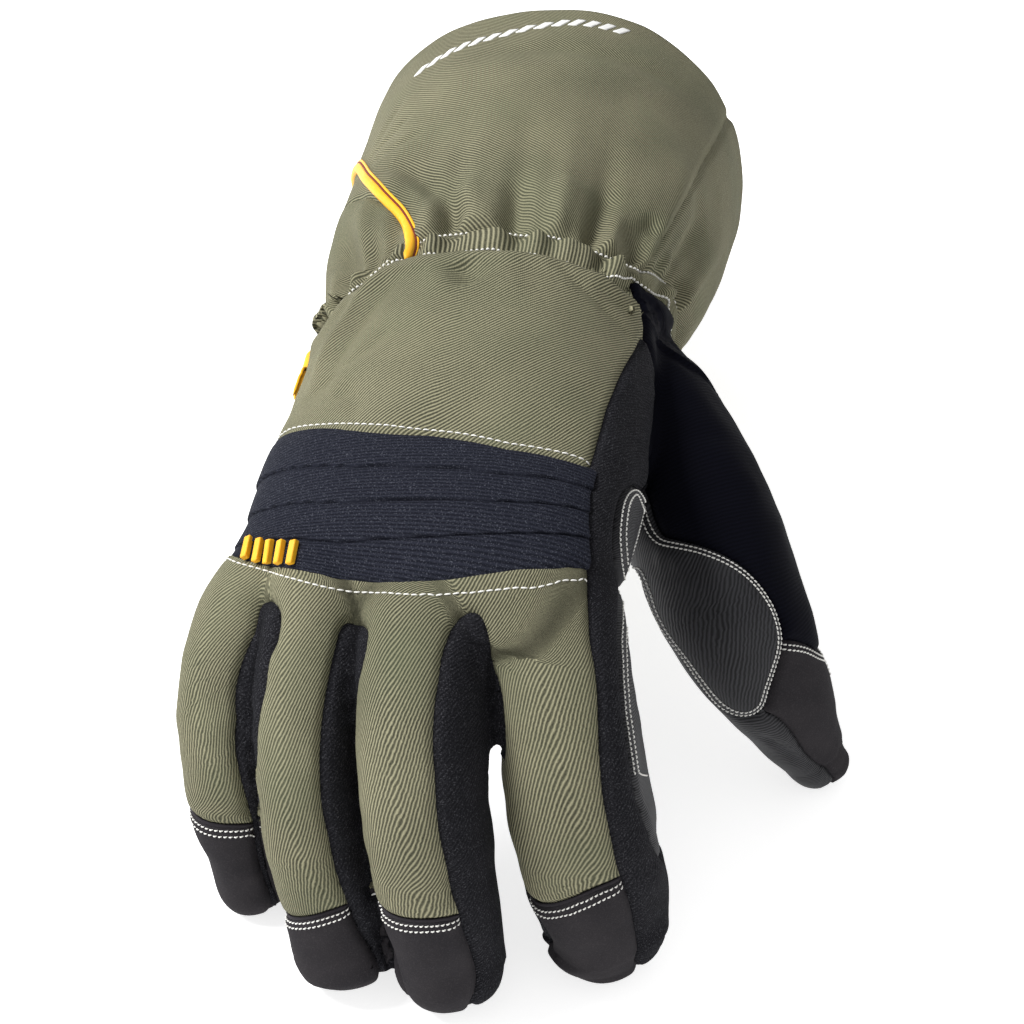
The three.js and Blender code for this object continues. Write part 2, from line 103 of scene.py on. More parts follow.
# %% Tables of sections
#       x      y      z     width  height turn square
SLEEVE = np.array([
    (-22.6, 134.0, 39.5, 51.0, 47.5, 8, 2.10),
    (-20.0, 102.0, 54.0, 50.0, 42.5, 8, 2.10),
    (-16.5, 71.0, 66.5, 46.0, 35.5, 8, 2.15),
    (-13.5, 40.5, 76.0, 41.0, 29.0, 8, 2.20),
    (-13.0, 33.5, 77.5, 41.0, 28.5, 9, 2.20),
    (-12.0, 9.0, 79.5, 43.0, 27.5, 10, 2.30),
    (-10.0, -20.0, 81.5, 44.5, 24.0, 11, 2.35),
    (-8.5, -43.0, 80.0, 43.5, 20.0, 12, 2.40),
    (-9.0, -54.5, 72.5, 38.0, 13.0, 12, 2.30),
])
LITTLE = np.array([
    (-40.0, -36.0, 77.0, 12.0, 12.5, 20, 2.3),
    (-48.5, -63.5, 57.5, 11.4, 12.5, 26, 2.3),
    (-46.0, -74.5, 33.0, 11.5, 12.0, 28, 2.4),
    (-42.0, -78.0, 9.5, 9.5, 10.0, 28, 2.6),
])
RING = np.array([
    (-30.0, -42.0, 82.0, 13.6, 14.0, 20, 2.3),
    (-28.0, -71.0, 61.0, 12.6, 14.0, 26, 2.3),
    (-23.8, -85.0, 35.5, 12.2, 13.5, 28, 2.4),
    (-15.6, -93.0, 10.0, 11.0, 11.5, 28, 2.6),
])
MIDDLE = np.array([
    (-8.0, -43.0, 85.5, 15.2, 15.0, 20, 2.3),
    (-1.2, -76.5, 67.0, 14.4, 15.0, 28, 2.3),
    (4.0, -88.5, 40.0, 14.2, 14.5, 30, 2.4),
    (8.7, -93.0, 10.3, 12.5, 12.5, 30, 2.6),
])
INDEX = np.array([
    (16.5, -38.0, 87.0, 16.4, 16.0, 18, 2.3),
    (29.5, -64.0, 67.0, 16.4, 15.5, 28, 2.3),
    (37.0, -74.0, 40.0, 16.0, 15.0, 30, 2.4),
    (41.5, -75.5, 11.0, 13.5, 13.0, 30, 2.6),
])
THUMB = np.array([
    (12.0, 38.0, 71.0, 14.0, 18.0, -45, 2.1),
    (28.5, 27.0, 67.0, 16.8, 18.5, -45, 2.1),
    (42.0, 12.0, 61.0, 18.0, 19.0, -45, 2.1),
    (54.7, -5.6, 48.5, 17.5, 18.0, -45, 2.1),
    (66.5, -12.5, 31.0, 13.5, 13.5, -45, 2.1),
    (76.5, -12.0, 10.0, 8.5, 8.5, -45, 2.1),
])
TIP_DOME = 10.5
TABLE_ORIGIN = np.array([6.22, 24.24, 0.0])
WRIST = 4.0


# %% [markdown]
# ## Reading a tube
# NumPy works a whole array of places at once, which is far faster than a Python loop over each vertex. The class
# turns places and angles into points, and points back into places and angles. Angle 0 is the back of the hand,
# 90 the thumb's side and 180 the palm.

# %% Small helpers
FINE_STEP = 0.02
POINTS_AT_ONCE = 20000


def unit(vectors):
    return vectors / np.maximum(np.linalg.norm(vectors, axis=-1, keepdims=True), 1e-9)


def signed_power(values, power):
    return np.sign(values) * np.abs(values) ** power


def bell(values, width):
    """A smooth hill: 1 where the values are 0, and nearly flat from twice the width on."""
    return np.exp(-(values / width) ** 2)


def half_turn(angle):
    """The same angle between -180 and 180."""
    return (angle + 180) % 360 - 180


def run_along(line):
    """How far along a line each of its points is."""
    return np.concatenate([[0], np.cumsum(np.linalg.norm(np.diff(line, axis=0), axis=1))])


def beside_segment(points, a, b):
    """How far along a segment, from 0 to 1, and how far from it some points are."""
    t = np.clip((points - a) @ (b - a) / ((b - a) @ (b - a)), 0, 1)
    return t, np.linalg.norm(points - a - t[:, None] * (b - a), axis=1)


# %% A tube
class Tube:
    def __init__(self, rows):
        self.rows = rows
        self.last = len(rows) - 1
        self.stops = np.arange(0, self.last + 1.001, FINE_STEP)

    def between(self, places):
        inside = np.clip(places, 0, self.last)
        i = np.minimum(inside.astype(int), self.last - 1)
        u = (inside - i)[:, None]
        b, c = self.rows[i], self.rows[i + 1]
        a = np.where((i > 0)[:, None], self.rows[np.maximum(i - 1, 0)], 2 * b - c)
        d = np.where((i + 2 <= self.last)[:, None], self.rows[np.minimum(i + 2, self.last)], 2 * c - b)
        return b + 0.5 * u * (c - a + u * (2 * a - 5 * b + 4 * c - d + u * (3 * (b - c) + d - a)))

    def sections(self, places):
        """The rows at some places, with their centres and their along, back and side directions."""
        places = np.asarray(places, float)
        rows = self.between(places)
        ahead = self.between(np.minimum(np.maximum(places, 0) + FINE_STEP, self.last))[:, :3]
        behind = self.between(np.maximum(np.minimum(places, self.last) - FINE_STEP, 0))[:, :3]
        along = unit(ahead - behind)
        back = unit(np.array([0, 0, 1.0]) - along * along[:, 2:3])
        side = np.cross(back, along)
        angle = np.radians(rows[:, 5:6])
        back, side = (
            v * np.cos(angle) + np.cross(along, v) * np.sin(angle) for v in (back, side)
        )
        beyond = np.where(places > self.last, places - self.last, np.minimum(places, 0))
        centres = rows[:, :3] - TABLE_ORIGIN + along * (beyond * TIP_DOME)[:, None]
        return rows, centres, along, back, side

    def points(self, places, angles, out=0.0, scale=1.0):
        places, angles, out, scale = np.broadcast_arrays(places, angles, out, scale)
        shape = places.shape
        rows, centres, along, back, side = self.sections(places.ravel())
        a = np.radians(angles.ravel())
        power = 2 / rows[:, 6]
        across = signed_power(np.sin(a), power) * (rows[:, 3] + out.ravel()) * scale.ravel()
        up = signed_power(np.cos(a), power) * (rows[:, 4] + out.ravel()) * scale.ravel()
        return (centres + side * across[:, None] + back * up[:, None]).reshape(shape + (3,))

    def locate(self, points):
        """Each point's place, angle, reach (1 on the surface), and the mm in one place and one degree."""
        rows, centres, along, back, side = self.sections(self.stops)
        gaps = np.linalg.norm(np.diff(centres, axis=0), axis=1)
        length = np.append(gaps, gaps[-1]) / FINE_STEP
        nearest = np.empty(len(points), int)
        for start in range(0, len(points), POINTS_AT_ONCE):
            part = points[start:start + POINTS_AT_ONCE]
            square = (part**2).sum(1)[:, None] - 2 * part @ centres.T + (centres**2).sum(1)
            nearest[start:start + POINTS_AT_ONCE] = square.argmin(1)
        away = points - centres[nearest]
        ahead = (away * along[nearest]).sum(1) / length[nearest]
        place = self.stops[nearest] + np.clip(ahead, -0.5, 0.5)
        row = rows[nearest]
        x = (away * side[nearest]).sum(1) / row[:, 3]
        y = (away * back[nearest]).sum(1) / row[:, 4]
        square = row[:, 6]
        angle = np.degrees(np.arctan2(signed_power(x, square / 2), signed_power(y, square / 2)))
        reach = (np.abs(x) ** square + np.abs(y) ** square) ** (1 / square)
        radius = (row[:, 3] + row[:, 4]) / 2
        return place, angle, reach, length[nearest], np.radians(radius)


TUBES = {
    "sleeve": Tube(SLEEVE), "little": Tube(LITTLE), "ring": Tube(RING),
    "middle": Tube(MIDDLE), "index": Tube(INDEX), "thumb": Tube(THUMB),
}
FINGER_NAMES = ["little", "ring", "middle", "index"]


# %% [markdown]
# ## One skin for the hand
# The fingers and the thumb grow out of the palm in one padded skin. Joining tubes with booleans would leave
# sharp creases, so each tube becomes a closed mesh, all are joined, and the Remesh modifier wraps them in one
# even skin of small faces. A Smooth modifier then rounds the crotches between the fingers.

# %% Mesh helpers
def make_object(name, points, faces):
    mesh = bpy.data.meshes.new(name)
    faces = faces.tolist() if isinstance(faces, np.ndarray) else faces
    mesh.from_pydata((np.asarray(points) * MM).tolist(), [], faces)
    mesh.update()
    made = bpy.data.objects.new(name, mesh)
    bpy.context.collection.objects.link(made)
    return made


def select_only(piece):
    bpy.ops.object.select_all(action="DESELECT")
    piece.select_set(True)
    bpy.context.view_layer.objects.active = piece


def join_pieces(parts):
    """Joins some objects into the first one."""
    bpy.ops.object.select_all(action="DESELECT")
    for part in parts:
        part.select_set(True)
    bpy.context.view_layer.objects.active = parts[0]
    bpy.ops.object.join()
    return parts[0]


def turn_outwards(piece, triangles=False):
    """Turns every face of a closed mesh outwards, in edit mode."""
    select_only(piece)
    bpy.ops.object.mode_set(mode="EDIT")
    bpy.ops.mesh.select_all(action="SELECT")
    if triangles:
        bpy.ops.mesh.quads_convert_to_tris()
    bpy.ops.mesh.normals_make_consistent(inside=False)
    bpy.ops.object.mode_set(mode="OBJECT")
    return piece


def apply_modifier(piece, kind, **settings):
    modifier = piece.modifiers.new(kind.lower(), kind)
    for key, value in settings.items():
        setattr(modifier, key, value)
    select_only(piece)
    bpy.ops.object.modifier_apply(modifier=modifier.name)


def mesh_points(piece):
    flat = np.empty(len(piece.data.vertices) * 3)
    piece.data.vertices.foreach_get("co", flat)
    return flat.reshape(-1, 3) / MM


def mesh_triangles(piece):
    piece.data.calc_loop_triangles()
    flat = np.empty(len(piece.data.loop_triangles) * 3, int)
    piece.data.loop_triangles.foreach_get("vertices", flat)
    return flat.reshape(-1, 3)


def vertex_normals(points, triangles):
    a, b, c = (points[triangles[:, i]] for i in range(3))
    face = np.cross(b - a, c - a)
    total = np.zeros_like(points)
    for i in range(3):
        np.add.at(total, triangles[:, i], face)
    return unit(total)


def faced_along(points, triangles, outward):
    """The triangles, turned over if they face against the outward directions."""
    against = (vertex_normals(points, triangles) * outward).sum() < 0
    return triangles[:, ::-1] if against else triangles


def ring_faces(rings, count, closed_ends=False):
    """Quads between rings of points that run one after the other."""
    faces = []
    for i in range(rings - 1):
        for j in range(count):
            a, b = i * count + j, i * count + (j + 1) % count
            faces.append((a, b, b + count, a + count))
    if closed_ends:
        faces.append(tuple(reversed(range(count))))
        faces.append(tuple(range((rings - 1) * count, rings * count)))
    return faces


# %% The hand's skin
SKIN_SIDES = 64
SKIN_VOXEL = 1.0


def closed_tube(name, places, scales):
    tube = TUBES[name]
    angles = np.arange(SKIN_SIDES) * 360 / SKIN_SIDES
    points = tube.points(np.array(places)[:, None], angles[None, :], 0.0, np.array(scales)[:, None])
    faces = ring_faces(len(places), SKIN_SIDES, closed_ends=True)
    return turn_outwards(make_object(name + "_form", points.reshape(-1, 3), faces), triangles=True)


def dome(last, steps=8):
    lean = np.radians(np.linspace(0, 87, steps)[1:])
    return list(last + np.sin(lean)), list(np.cos(lean) ** 0.6)


forms = []
for name, tube in TUBES.items():
    first = WRIST - 1.6 if name == "sleeve" else 0.0
    places = list(np.arange(first, tube.last, 0.1)) + [tube.last]
    scales = [1.0] * len(places)
    if name == "sleeve":
        more, narrower = [tube.last + 0.25, tube.last + 0.45, tube.last + 0.7], [0.94, 0.84, 0.55]
    else:
        more, narrower = dome(tube.last)
    forms.append(closed_tube(name, places + more, scales + narrower))
skin = join_pieces(forms)
skin.name = "hand_skin"
apply_modifier(skin, "REMESH", mode="VOXEL", voxel_size=SKIN_VOXEL * MM)
apply_modifier(skin, "SMOOTH", factor=0.5, iterations=9)
skin_points = mesh_points(skin)
skin_triangles = mesh_triangles(skin)
print("skin", len(skin_points), "points", len(skin_triangles), "triangles")

# %% [markdown]
# ## Cutting along seams
# A seam is where some function of the surface is zero. Here each panel has a level: positive inside the panel,
# negative outside, in millimetres from its edge. Every triangle that a seam crosses is split where the level is
# zero, so each panel gets a clean edge however the small faces lie, and two neighbours share it exactly.

# %% Panels as levels
REACH_MM = 12
SNAP_MM = 0.03


def spread(values, t):
    """A value, or a row of values spread evenly, at the shares t."""
    values = np.atleast_1d(np.asarray(values, float))
    if len(values) == 1:
        return np.full_like(t, values[0])
    return np.interp(t, np.linspace(0, 1, len(values)), values)


def region_level(found, start, end, low, high, reach=1.22):
    """How many mm inside a region of one tube each point is."""
    place, angle, reached, place_mm, degree_mm = found
    middle = (np.mean(low) + np.mean(high)) / 2
    turned = half_turn(angle - middle) + middle
    t = np.full_like(place, 0.5)
    for _ in range(3):
        near, far = spread(low, t), spread(high, t)
        s = np.clip((turned - near) / (far - near), 0, 1)
        begin, finish = spread(start, s), spread(end, s)
        t = np.clip((place - begin) / (finish - begin), 0, 1)
    edges = [
        (place - begin) * place_mm, (finish - place) * place_mm,
        (turned - near) * degree_mm, (far - turned) * degree_mm,
        (reach - reached) * REACH_MM,
    ]
    return np.min(edges, axis=0)


def split_along(points, triangles, columns, level):
    """Splits the triangles that a level's zero crosses. columns holds other values at each point."""
    level = np.where(np.abs(level) < SNAP_MM, SNAP_MM, level)
    positive = level > 0
    inside = positive[triangles]
    count = inside.sum(1)
    crossed = (count == 1) | (count == 2)
    lone_side = count == 1
    lone = np.where(lone_side, inside.argmax(1), (~inside).argmax(1))
    chosen = np.nonzero(crossed)[0]
    a = triangles[chosen, lone[chosen]]
    b = triangles[chosen, (lone[chosen] + 1) % 3]
    c = triangles[chosen, (lone[chosen] + 2) % 3]
    edges = np.sort(np.concatenate([np.stack([a, b], 1), np.stack([a, c], 1)]), axis=1)
    unique, index = np.unique(edges, axis=0, return_inverse=True)
    index = index.ravel()
    first, second = unique[:, 0], unique[:, 1]
    t = (level[first] / (level[first] - level[second]))[:, None]
    table = np.concatenate([points, columns, level[:, None]], axis=1)
    added = table[first] * (1 - t) + table[second] * t
    table = np.concatenate([table, added])
    ab = index[:len(chosen)] + len(points)
    ac = index[len(chosen):] + len(points)
    pieces = [
        np.stack([a, ab, ac], 1), np.stack([ab, b, c], 1), np.stack([ab, c, ac], 1),
    ]
    kept = triangles[~crossed]
    parents = np.concatenate([np.nonzero(~crossed)[0], chosen, chosen, chosen])
    new_triangles = np.concatenate([kept] + pieces)
    lone_positive = lone_side[chosen]
    side = np.concatenate([positive[kept[:, 0]], lone_positive, ~lone_positive, ~lone_positive])
    return table[:, :3], new_triangles, table[:, 3:-1], parents, side


# %% Outlines drawn on the photograph
found = {name: tube.locate(skin_points) for name, tube in TUBES.items()}
skin_pixels = photo_pixels(skin_points)
facing = -(vertex_normals(skin_points, skin_triangles) @ forward)


def closed_curve(corners, steps=5):
    """A smooth closed line through some corners."""
    before, start, end, after = (np.roll(corners, k, axis=0)[:, None] for k in (1, 0, -1, -2))
    u = np.arange(steps)[None, :, None] / steps
    cubic = 3 * (start - end) + after - before
    curve = start + 0.5 * u * (end - before + u * (2 * before - 5 * start + 4 * end - after + u * cubic))
    return curve.reshape(-1, 2)


def drawn_level(corners, grow=0.0):
    """How many mm inside a drawn outline the skin is, where it faces the camera."""
    curve = closed_curve(np.array(corners, float))
    near = np.all((skin_pixels > curve.min(0) - 60) & (skin_pixels < curve.max(0) + 60), axis=1)
    spots = skin_pixels[near]
    x, y = spots.T
    best = np.full(len(spots), 1e9)
    inside = np.zeros(len(spots), bool)
    for a, b in zip(curve, np.roll(curve, -1, axis=0)):
        best = np.minimum(best, beside_segment(spots, a, b)[1])
        if a[1] != b[1]:
            crosses = (a[1] > y) != (b[1] > y)
            inside ^= crosses & (x < a[0] + (y - a[1]) * (b[0] - a[0]) / (b[1] - a[1]))
    level = np.full(len(skin_points), -10.0)
    level[near] = np.where(inside, best, -best) * PIXEL_MM + grow
    return np.minimum(level, (facing + 0.15) * REACH_MM)


def tube_level(name, *region):
    return region_level(found[name], *region)


def unseen(level):
    """A level kept to the cloth that turns away from the camera."""
    return np.minimum(level, (0.05 - facing) * REACH_MM)


def nearest_finger(name):
    """Positive, in about mm, where a finger is the nearest one."""
    others = [found[other][2] for other in FINGER_NAMES if other != name]
    return (np.min(others, axis=0) - found[name][2]) * REACH_MM


# %% The hand's seams
BAND_TOP = [5.6, 5.78, 6, 6.18, 6.16]
BAND_BOTTOM = [7.05, 7.36, 7.42, 7.17, 6.98]
BAND_LOW, BAND_HIGH = [-88, -98], [58, 57, 60, 67]
UNDER_BAND = 1.3
BAND_MIDDLE = 6.6
HAND_LEFT = [-62, -70, -72, -78, -88]
FINGER_BACKS = {
    "little": ([2.08, 2.12], -100, 50),
    "ring": ([2.56, 2.42], -86, 54),
    "middle": ([2.28, 2.2], -86, 48),
    "index": ([2.34, 1.97], -96, 60),
}
THUMB_CAP = [4.12, 3.92, 3.58, 3.88, 3.92, 3.92, 3.92]
GATHER_ANGLES = [-180, -90, -60, -47, -41, -33, -24, -10, 0, 26, 45, 56, 66, 75, 86, 100, 125, 180]
UPPER_ROW = [3.5, 4.0, 4.25, 4.05, 3.65, 3.45, 3.02, 3.02, 3.04, 3.06, 3.04, 2.95, 2.75, 2.6, 2.5, 2.6, 3.2, 3.5]
LOWER_ROW = [4.0, 4.3, 4.4, 4.2, 4.12, 4.05, 3.9, 3.82, 3.7, 3.7, 3.68, 3.55, 3.15, 2.9, 2.75, 2.85, 3.6, 4.0]
PATCH_OUTLINE = [
    (621, 562), (621, 525), (624, 503), (631, 491), (639, 490), (644, 502), (650, 522), (660, 538), (678, 543),
    (700, 548), (726, 558), (748, 572), (765, 590), (777, 610), (783, 632), (782, 652), (776, 672), (769, 692),
    (763, 708), (750, 716), (735, 714), (718, 702), (700, 680), (680, 652), (664, 630), (654, 610), (647, 590),
    (640, 572), (634, 578), (630, 592), (625, 588),
]
THUMB_CAP_OUTLINE = [
    (770, 640), (784, 641), (800, 642), (812, 645), (822, 650), (842, 660), (860, 700), (875, 770), (860, 795),
    (838, 783), (828, 772), (818, 767), (806, 757), (791, 734), (776, 720), (764, 714), (755, 700), (765, 670),
]
SIDE_OUTLINE = [
    (648, 337), (640, 345), (625, 368), (611, 400), (602, 430), (590, 468), (575, 480), (570, 520), (575, 558),
    (589, 568), (590, 600), (592, 640), (598, 680), (600, 720), (601, 760), (604, 800), (612, 840), (619, 872),
    (630, 901), (637, 924), (641, 946), (640, 968), (645, 995), (690, 985), (690, 900), (662, 850), (648, 812),
    (642, 790), (637, 760), (633, 727), (628, 693), (625, 660), (623, 627), (622, 600), (621, 560), (621, 525),
    (624, 500), (634, 489), (645, 490), (648, 475), (650, 450), (654, 420), (658, 390), (655, 363),
]
SLOT_OUTLINES = {
    ("little", "ring"): [
        (268, 601), (260, 606), (256, 628), (252, 650), (243, 678), (238, 715), (236, 750), (241, 780), (249, 808),
        (254, 826), (258, 855), (266, 883), (272, 901), (274, 925), (290, 930), (280, 903), (272, 883), (266, 857),
        (260, 830), (257, 803), (254, 777), (254, 750), (256, 720), (261, 690), (266, 658), (275, 640), (277, 612),
    ],
    ("ring", "middle"): [
        (352, 622), (343, 629), (337, 650), (330, 680), (324, 718), (321, 750), (321, 777), (323, 810), (330, 840),
        (337, 873), (346, 898), (352, 915), (360, 933), (371, 948), (378, 962), (382, 978), (380, 1000),
        (400, 1000),
        (392, 975), (384, 950), (379, 915), (370, 888), (365, 863), (358, 840), (352, 815), (349, 790), (351, 763),
        (353, 728), (354, 700), (358, 670), (363, 648), (363, 632),
    ],
    ("middle", "index"): [
        (470, 613), (458, 620), (450, 637), (443, 657), (440, 677), (436, 703), (434, 730), (434, 753), (436, 777),
        (437, 807), (440, 837), (447, 867), (453, 897), (459, 913), (463, 930), (471, 951), (478, 974), (476, 992),
        (471, 1012), (490, 1025), (515, 990), (520, 930), (526, 880), (520, 857), (511, 812), (505, 777),
        (501, 740), (498, 707), (495, 683), (491, 660), (486, 634), (480, 618),
    ],
}
STRETCH_OUTLINE = [
    (628, 262), (636, 283), (642, 300), (647, 320), (648, 338), (640, 372), (635, 480), (650, 560), (700, 620),
    (770, 640), (800, 655),
    (850, 660), (850, 560), (760, 400), (712, 310), (690, 270), (655, 250),
]


def gather_row(row, angles):
    """The place of an elastic row at some angles, with its corners rounded."""
    shifted = [half_turn(angles + shift) for shift in (-4, -2, 0, 2, 4)]
    return np.mean([np.interp(angle, GATHER_ANGLES, row) for angle in shifted], axis=0)


sleeve_place, sleeve_angle, sleeve_reach, sleeve_mm, _ = found["sleeve"]
below_gather = (sleeve_place - gather_row(LOWER_ROW, sleeve_angle)) * sleeve_mm
hand_levels = {"trim": np.maximum(below_gather, (sleeve_reach - 1.03) * 30)}
hand_levels["knuckle_band"] = tube_level("sleeve", BAND_TOP, BAND_BOTTOM, BAND_LOW, BAND_HIGH, 1.7) - UNDER_BAND
hand_levels["thumb_patch"] = drawn_level(PATCH_OUTLINE, 0.5)
cap_behind = unseen(tube_level("thumb", THUMB_CAP, 6.2, -118, 120, 1.5))
hand_levels["thumb_cap"] = np.maximum(drawn_level(THUMB_CAP_OUTLINE), cap_behind)
side_behind = unseen(tube_level("index", 1.6, 3.9, 5, [92, 86, 80, 78]))
hand_levels["index_side_panel"] = np.maximum(drawn_level(SIDE_OUTLINE), side_behind)
for (first, second), outline in SLOT_OUTLINES.items():
    first_side = tube_level(first, 0.5, 3.9, FINGER_BACKS[first][2], 122)
    second_side = tube_level(second, 0.5, 3.9, -128, FINGER_BACKS[second][1])
    sides = np.maximum(
        np.minimum(first_side, nearest_finger(first)), np.minimum(second_side, nearest_finger(second))
    )
    hand_levels[f"fourchette_{first}_{second}"] = np.maximum(drawn_level(outline), sides)
for name, (cap, low, edge) in FINGER_BACKS.items():
    hand_levels[name + "_cap"] = tube_level(name, cap, 4.3, low, edge, 1.4)
behind = tube_level("thumb", 0, 4, [-45, -48, -60, -76, -92, -106, -60, -50, -40], 135)
hand_levels["thumb_back_panel"] = np.maximum(drawn_level(STRETCH_OUTLINE), unseen(behind))
hand_levels["hand_back_panel"] = tube_level("sleeve", WRIST - 1.0, BAND_MIDDLE, HAND_LEFT, 85)
finger_backs = [tube_level("sleeve", BAND_MIDDLE, 8.5, -98, 85, 1.7)]
for name, (cap, low, edge) in FINGER_BACKS.items():
    finger_backs.append(np.minimum(tube_level(name, 0.1, cap, low, edge), nearest_finger(name) + 2))
hand_levels["finger_back_panel"] = np.max(finger_backs, axis=0)
names = list(hand_levels)[1:] + ["palm_panel"]
levels = np.stack(list(hand_levels.values()), axis=1)

# %% [markdown]
# ## Fuller and leaner places
# A worn form is never quite a row of ovals. Each line of this table swells or slims one place of a tube: where it
# is, how far it reaches along and around in millimetres, and how much it moves the cloth out.

# %% Fuller and leaner places
SWELLS = [  # tube, place, angle, along, around, out
    ("sleeve", 5.2, -70, 24, 14, -1.6), ("sleeve", 7.0, -86, 12, 12, 1.8), ("little", 0.5, -45, 12, 9, 2.0),
    ("thumb", 1.8, 24, 36, 16, -2.6), ("thumb", 4.8, -30, 12, 10, -1.0), ("index", 0.9, 105, 18, 8, -2.0),
    ("index", 1.6, 84, 18, 9, -2.0), ("index", 1.5, -76, 16, 7, 1.6), ("index", 2.4, -90, 14, 8, 2.0),
    ("index", 3.6, -24, 6, 20, -1.4), ("middle", 1.6, 100, 20, 7, -1.4), ("ring", 2.9, -76, 12, 6, 1.4),
    ("ring", 3.7, -12, 6, 14, 1.2),
]
swell = np.zeros(len(skin_points))
for name, place, angle, along, around, out in SWELLS:
    at_place, at_angle, at_reach, place_mm, degree_mm = found[name]
    turned = half_turn(at_angle - angle)
    far = ((at_place - place) * place_mm / along) ** 2 + (turned * degree_mm / around) ** 2
    swell += out * np.exp(-far - np.maximum(np.abs(at_reach - 1) - 0.1, 0) * 12)

# %% [markdown]
# ## Cloth coordinates
# A weave has to follow the cloth and not the room. Each point gets its place in millimetres along and around the
# glove. On a finger these are the finger's own, and they run smoothly into those of the hand at its root. The
# diagonal ribs of each panel then come from one number, the distance across the ribs.

# %% Millimetres along and around
HAND_RADIUS = 36.0
FINGER_RADIUS = 13.0


def run_of(tube):
    return run_along(tube.sections(tube.stops)[1])


def hand_weave():
    sleeve = TUBES["sleeve"]
    run = run_of(sleeve)
    place, angle, reach, _, _ = found["sleeve"]
    weight = np.exp(-np.abs(reach - 1) * 20) * np.clip((8.35 - place) / 0.6, 0, 1)
    along = np.interp(place, sleeve.stops, run) * weight
    around = angle * np.radians(HAND_RADIUS) * weight
    for name in FINGER_NAMES + ["thumb"]:
        tube = TUBES[name]
        start = sleeve.locate(tube.sections([1.0])[1])
        finger_run = run_of(tube)
        finger_run += np.interp(start[0], sleeve.stops, run)[0] - np.interp(1.0, tube.stops, finger_run)
        at_place, at_angle, at_reach, _, _ = found[name]
        share = 8 * np.exp(-np.abs(at_reach - 1) * 36) * np.clip(at_place * 2, 0, 1) ** 2 + 1e-9
        along += np.interp(at_place, tube.stops, finger_run) * share
        at_root = start[1][0] * np.radians(HAND_RADIUS)
        around += (at_angle * np.radians(FINGER_RADIUS) + at_root) * share
        weight = weight + share
    return np.stack([along / weight, around / weight], axis=1)


columns = np.concatenate([levels, swell[:, None], hand_weave(), np.stack(found["sleeve"][:2], 1)], axis=1)


# %% Cut the skin into panels
def cut_panels(points, triangles, columns, names):
    """Splits a skin along each level in turn. Level 0 trims it, and each later one claims its panel."""
    labels = np.full(len(triangles), -1)
    for k in range(len(names)):
        points, triangles, columns, parents, side = split_along(points, triangles, columns, columns[:, k])
        labels = labels[parents]
        if k == 0:
            triangles, labels = triangles[side], labels[side]
        else:
            labels = np.where((labels < 0) & side, k - 1, labels)
    labels = np.where(labels < 0, len(names) - 1, labels)
    used, index = np.unique(triangles, return_inverse=True)
    return points[used], index.reshape(-1, 3), columns[used], labels


points, triangles, columns, labels = cut_panels(skin_points, skin_triangles, columns, names)
print("cut into", len(names), "panels,", len(triangles), "triangles")


# %% [markdown]
# ## Folds
# A fold is a stroke: a line on the cloth with a width and a depth. Strokes that the photograph shows are given
# where they lie in it, and a ray from the camera finds their place on the cloth. A negative depth is a valley.

# %% Rays from the camera
def surface_tree(points, triangles):
    return BVHTree.FromPolygons(points.tolist(), triangles.tolist(), all_triangles=True)


def seen_at(tree, pixels):
    """The points of a surface that lie at some pixels of the photograph."""
    hits = [tree.ray_cast(*camera_ray(x, y))[0] for x, y in pixels]
    return np.array([hit for hit in hits if hit is not None])


def stroke_relief(points, strokes):
    """The sum of many folds, each (line, width, depth), at some points."""
    total = np.zeros(len(points))
    for line, width, depth in strokes:
        if len(line) < 2:
            continue
        low, high = line.min(0) - 3 * width, line.max(0) + 3 * width
        near = np.nonzero(np.all((points > low) & (points < high), axis=1))[0]
        best = np.full(len(near), 1e9)
        share = np.zeros(len(near))
        for i in range(len(line) - 1):
            t, gap = beside_segment(points[near], line[i], line[i + 1])
            closer = gap < best
            best = np.where(closer, gap, best)
            share = np.where(closer, (i + t) / (len(line) - 1), share)
        taper = np.clip(np.minimum(share, 1 - share) * 4 + 0.15, 0, 1)
        total[near] += depth * taper * bell(best, width)
    return total


def waves(points, seed, count, size):
    """A soft random unevenness about 1 high, from a sum of waves of about one size."""
    random = np.random.default_rng(seed)
    total = np.zeros(len(points))
    for _ in range(count):
        direction = unit(random.normal(size=3)) * 2 * np.pi / (size * random.uniform(0.7, 1.5))
        total += np.sin(points @ direction + random.uniform(0, 6.28))
    return total / np.sqrt(count)


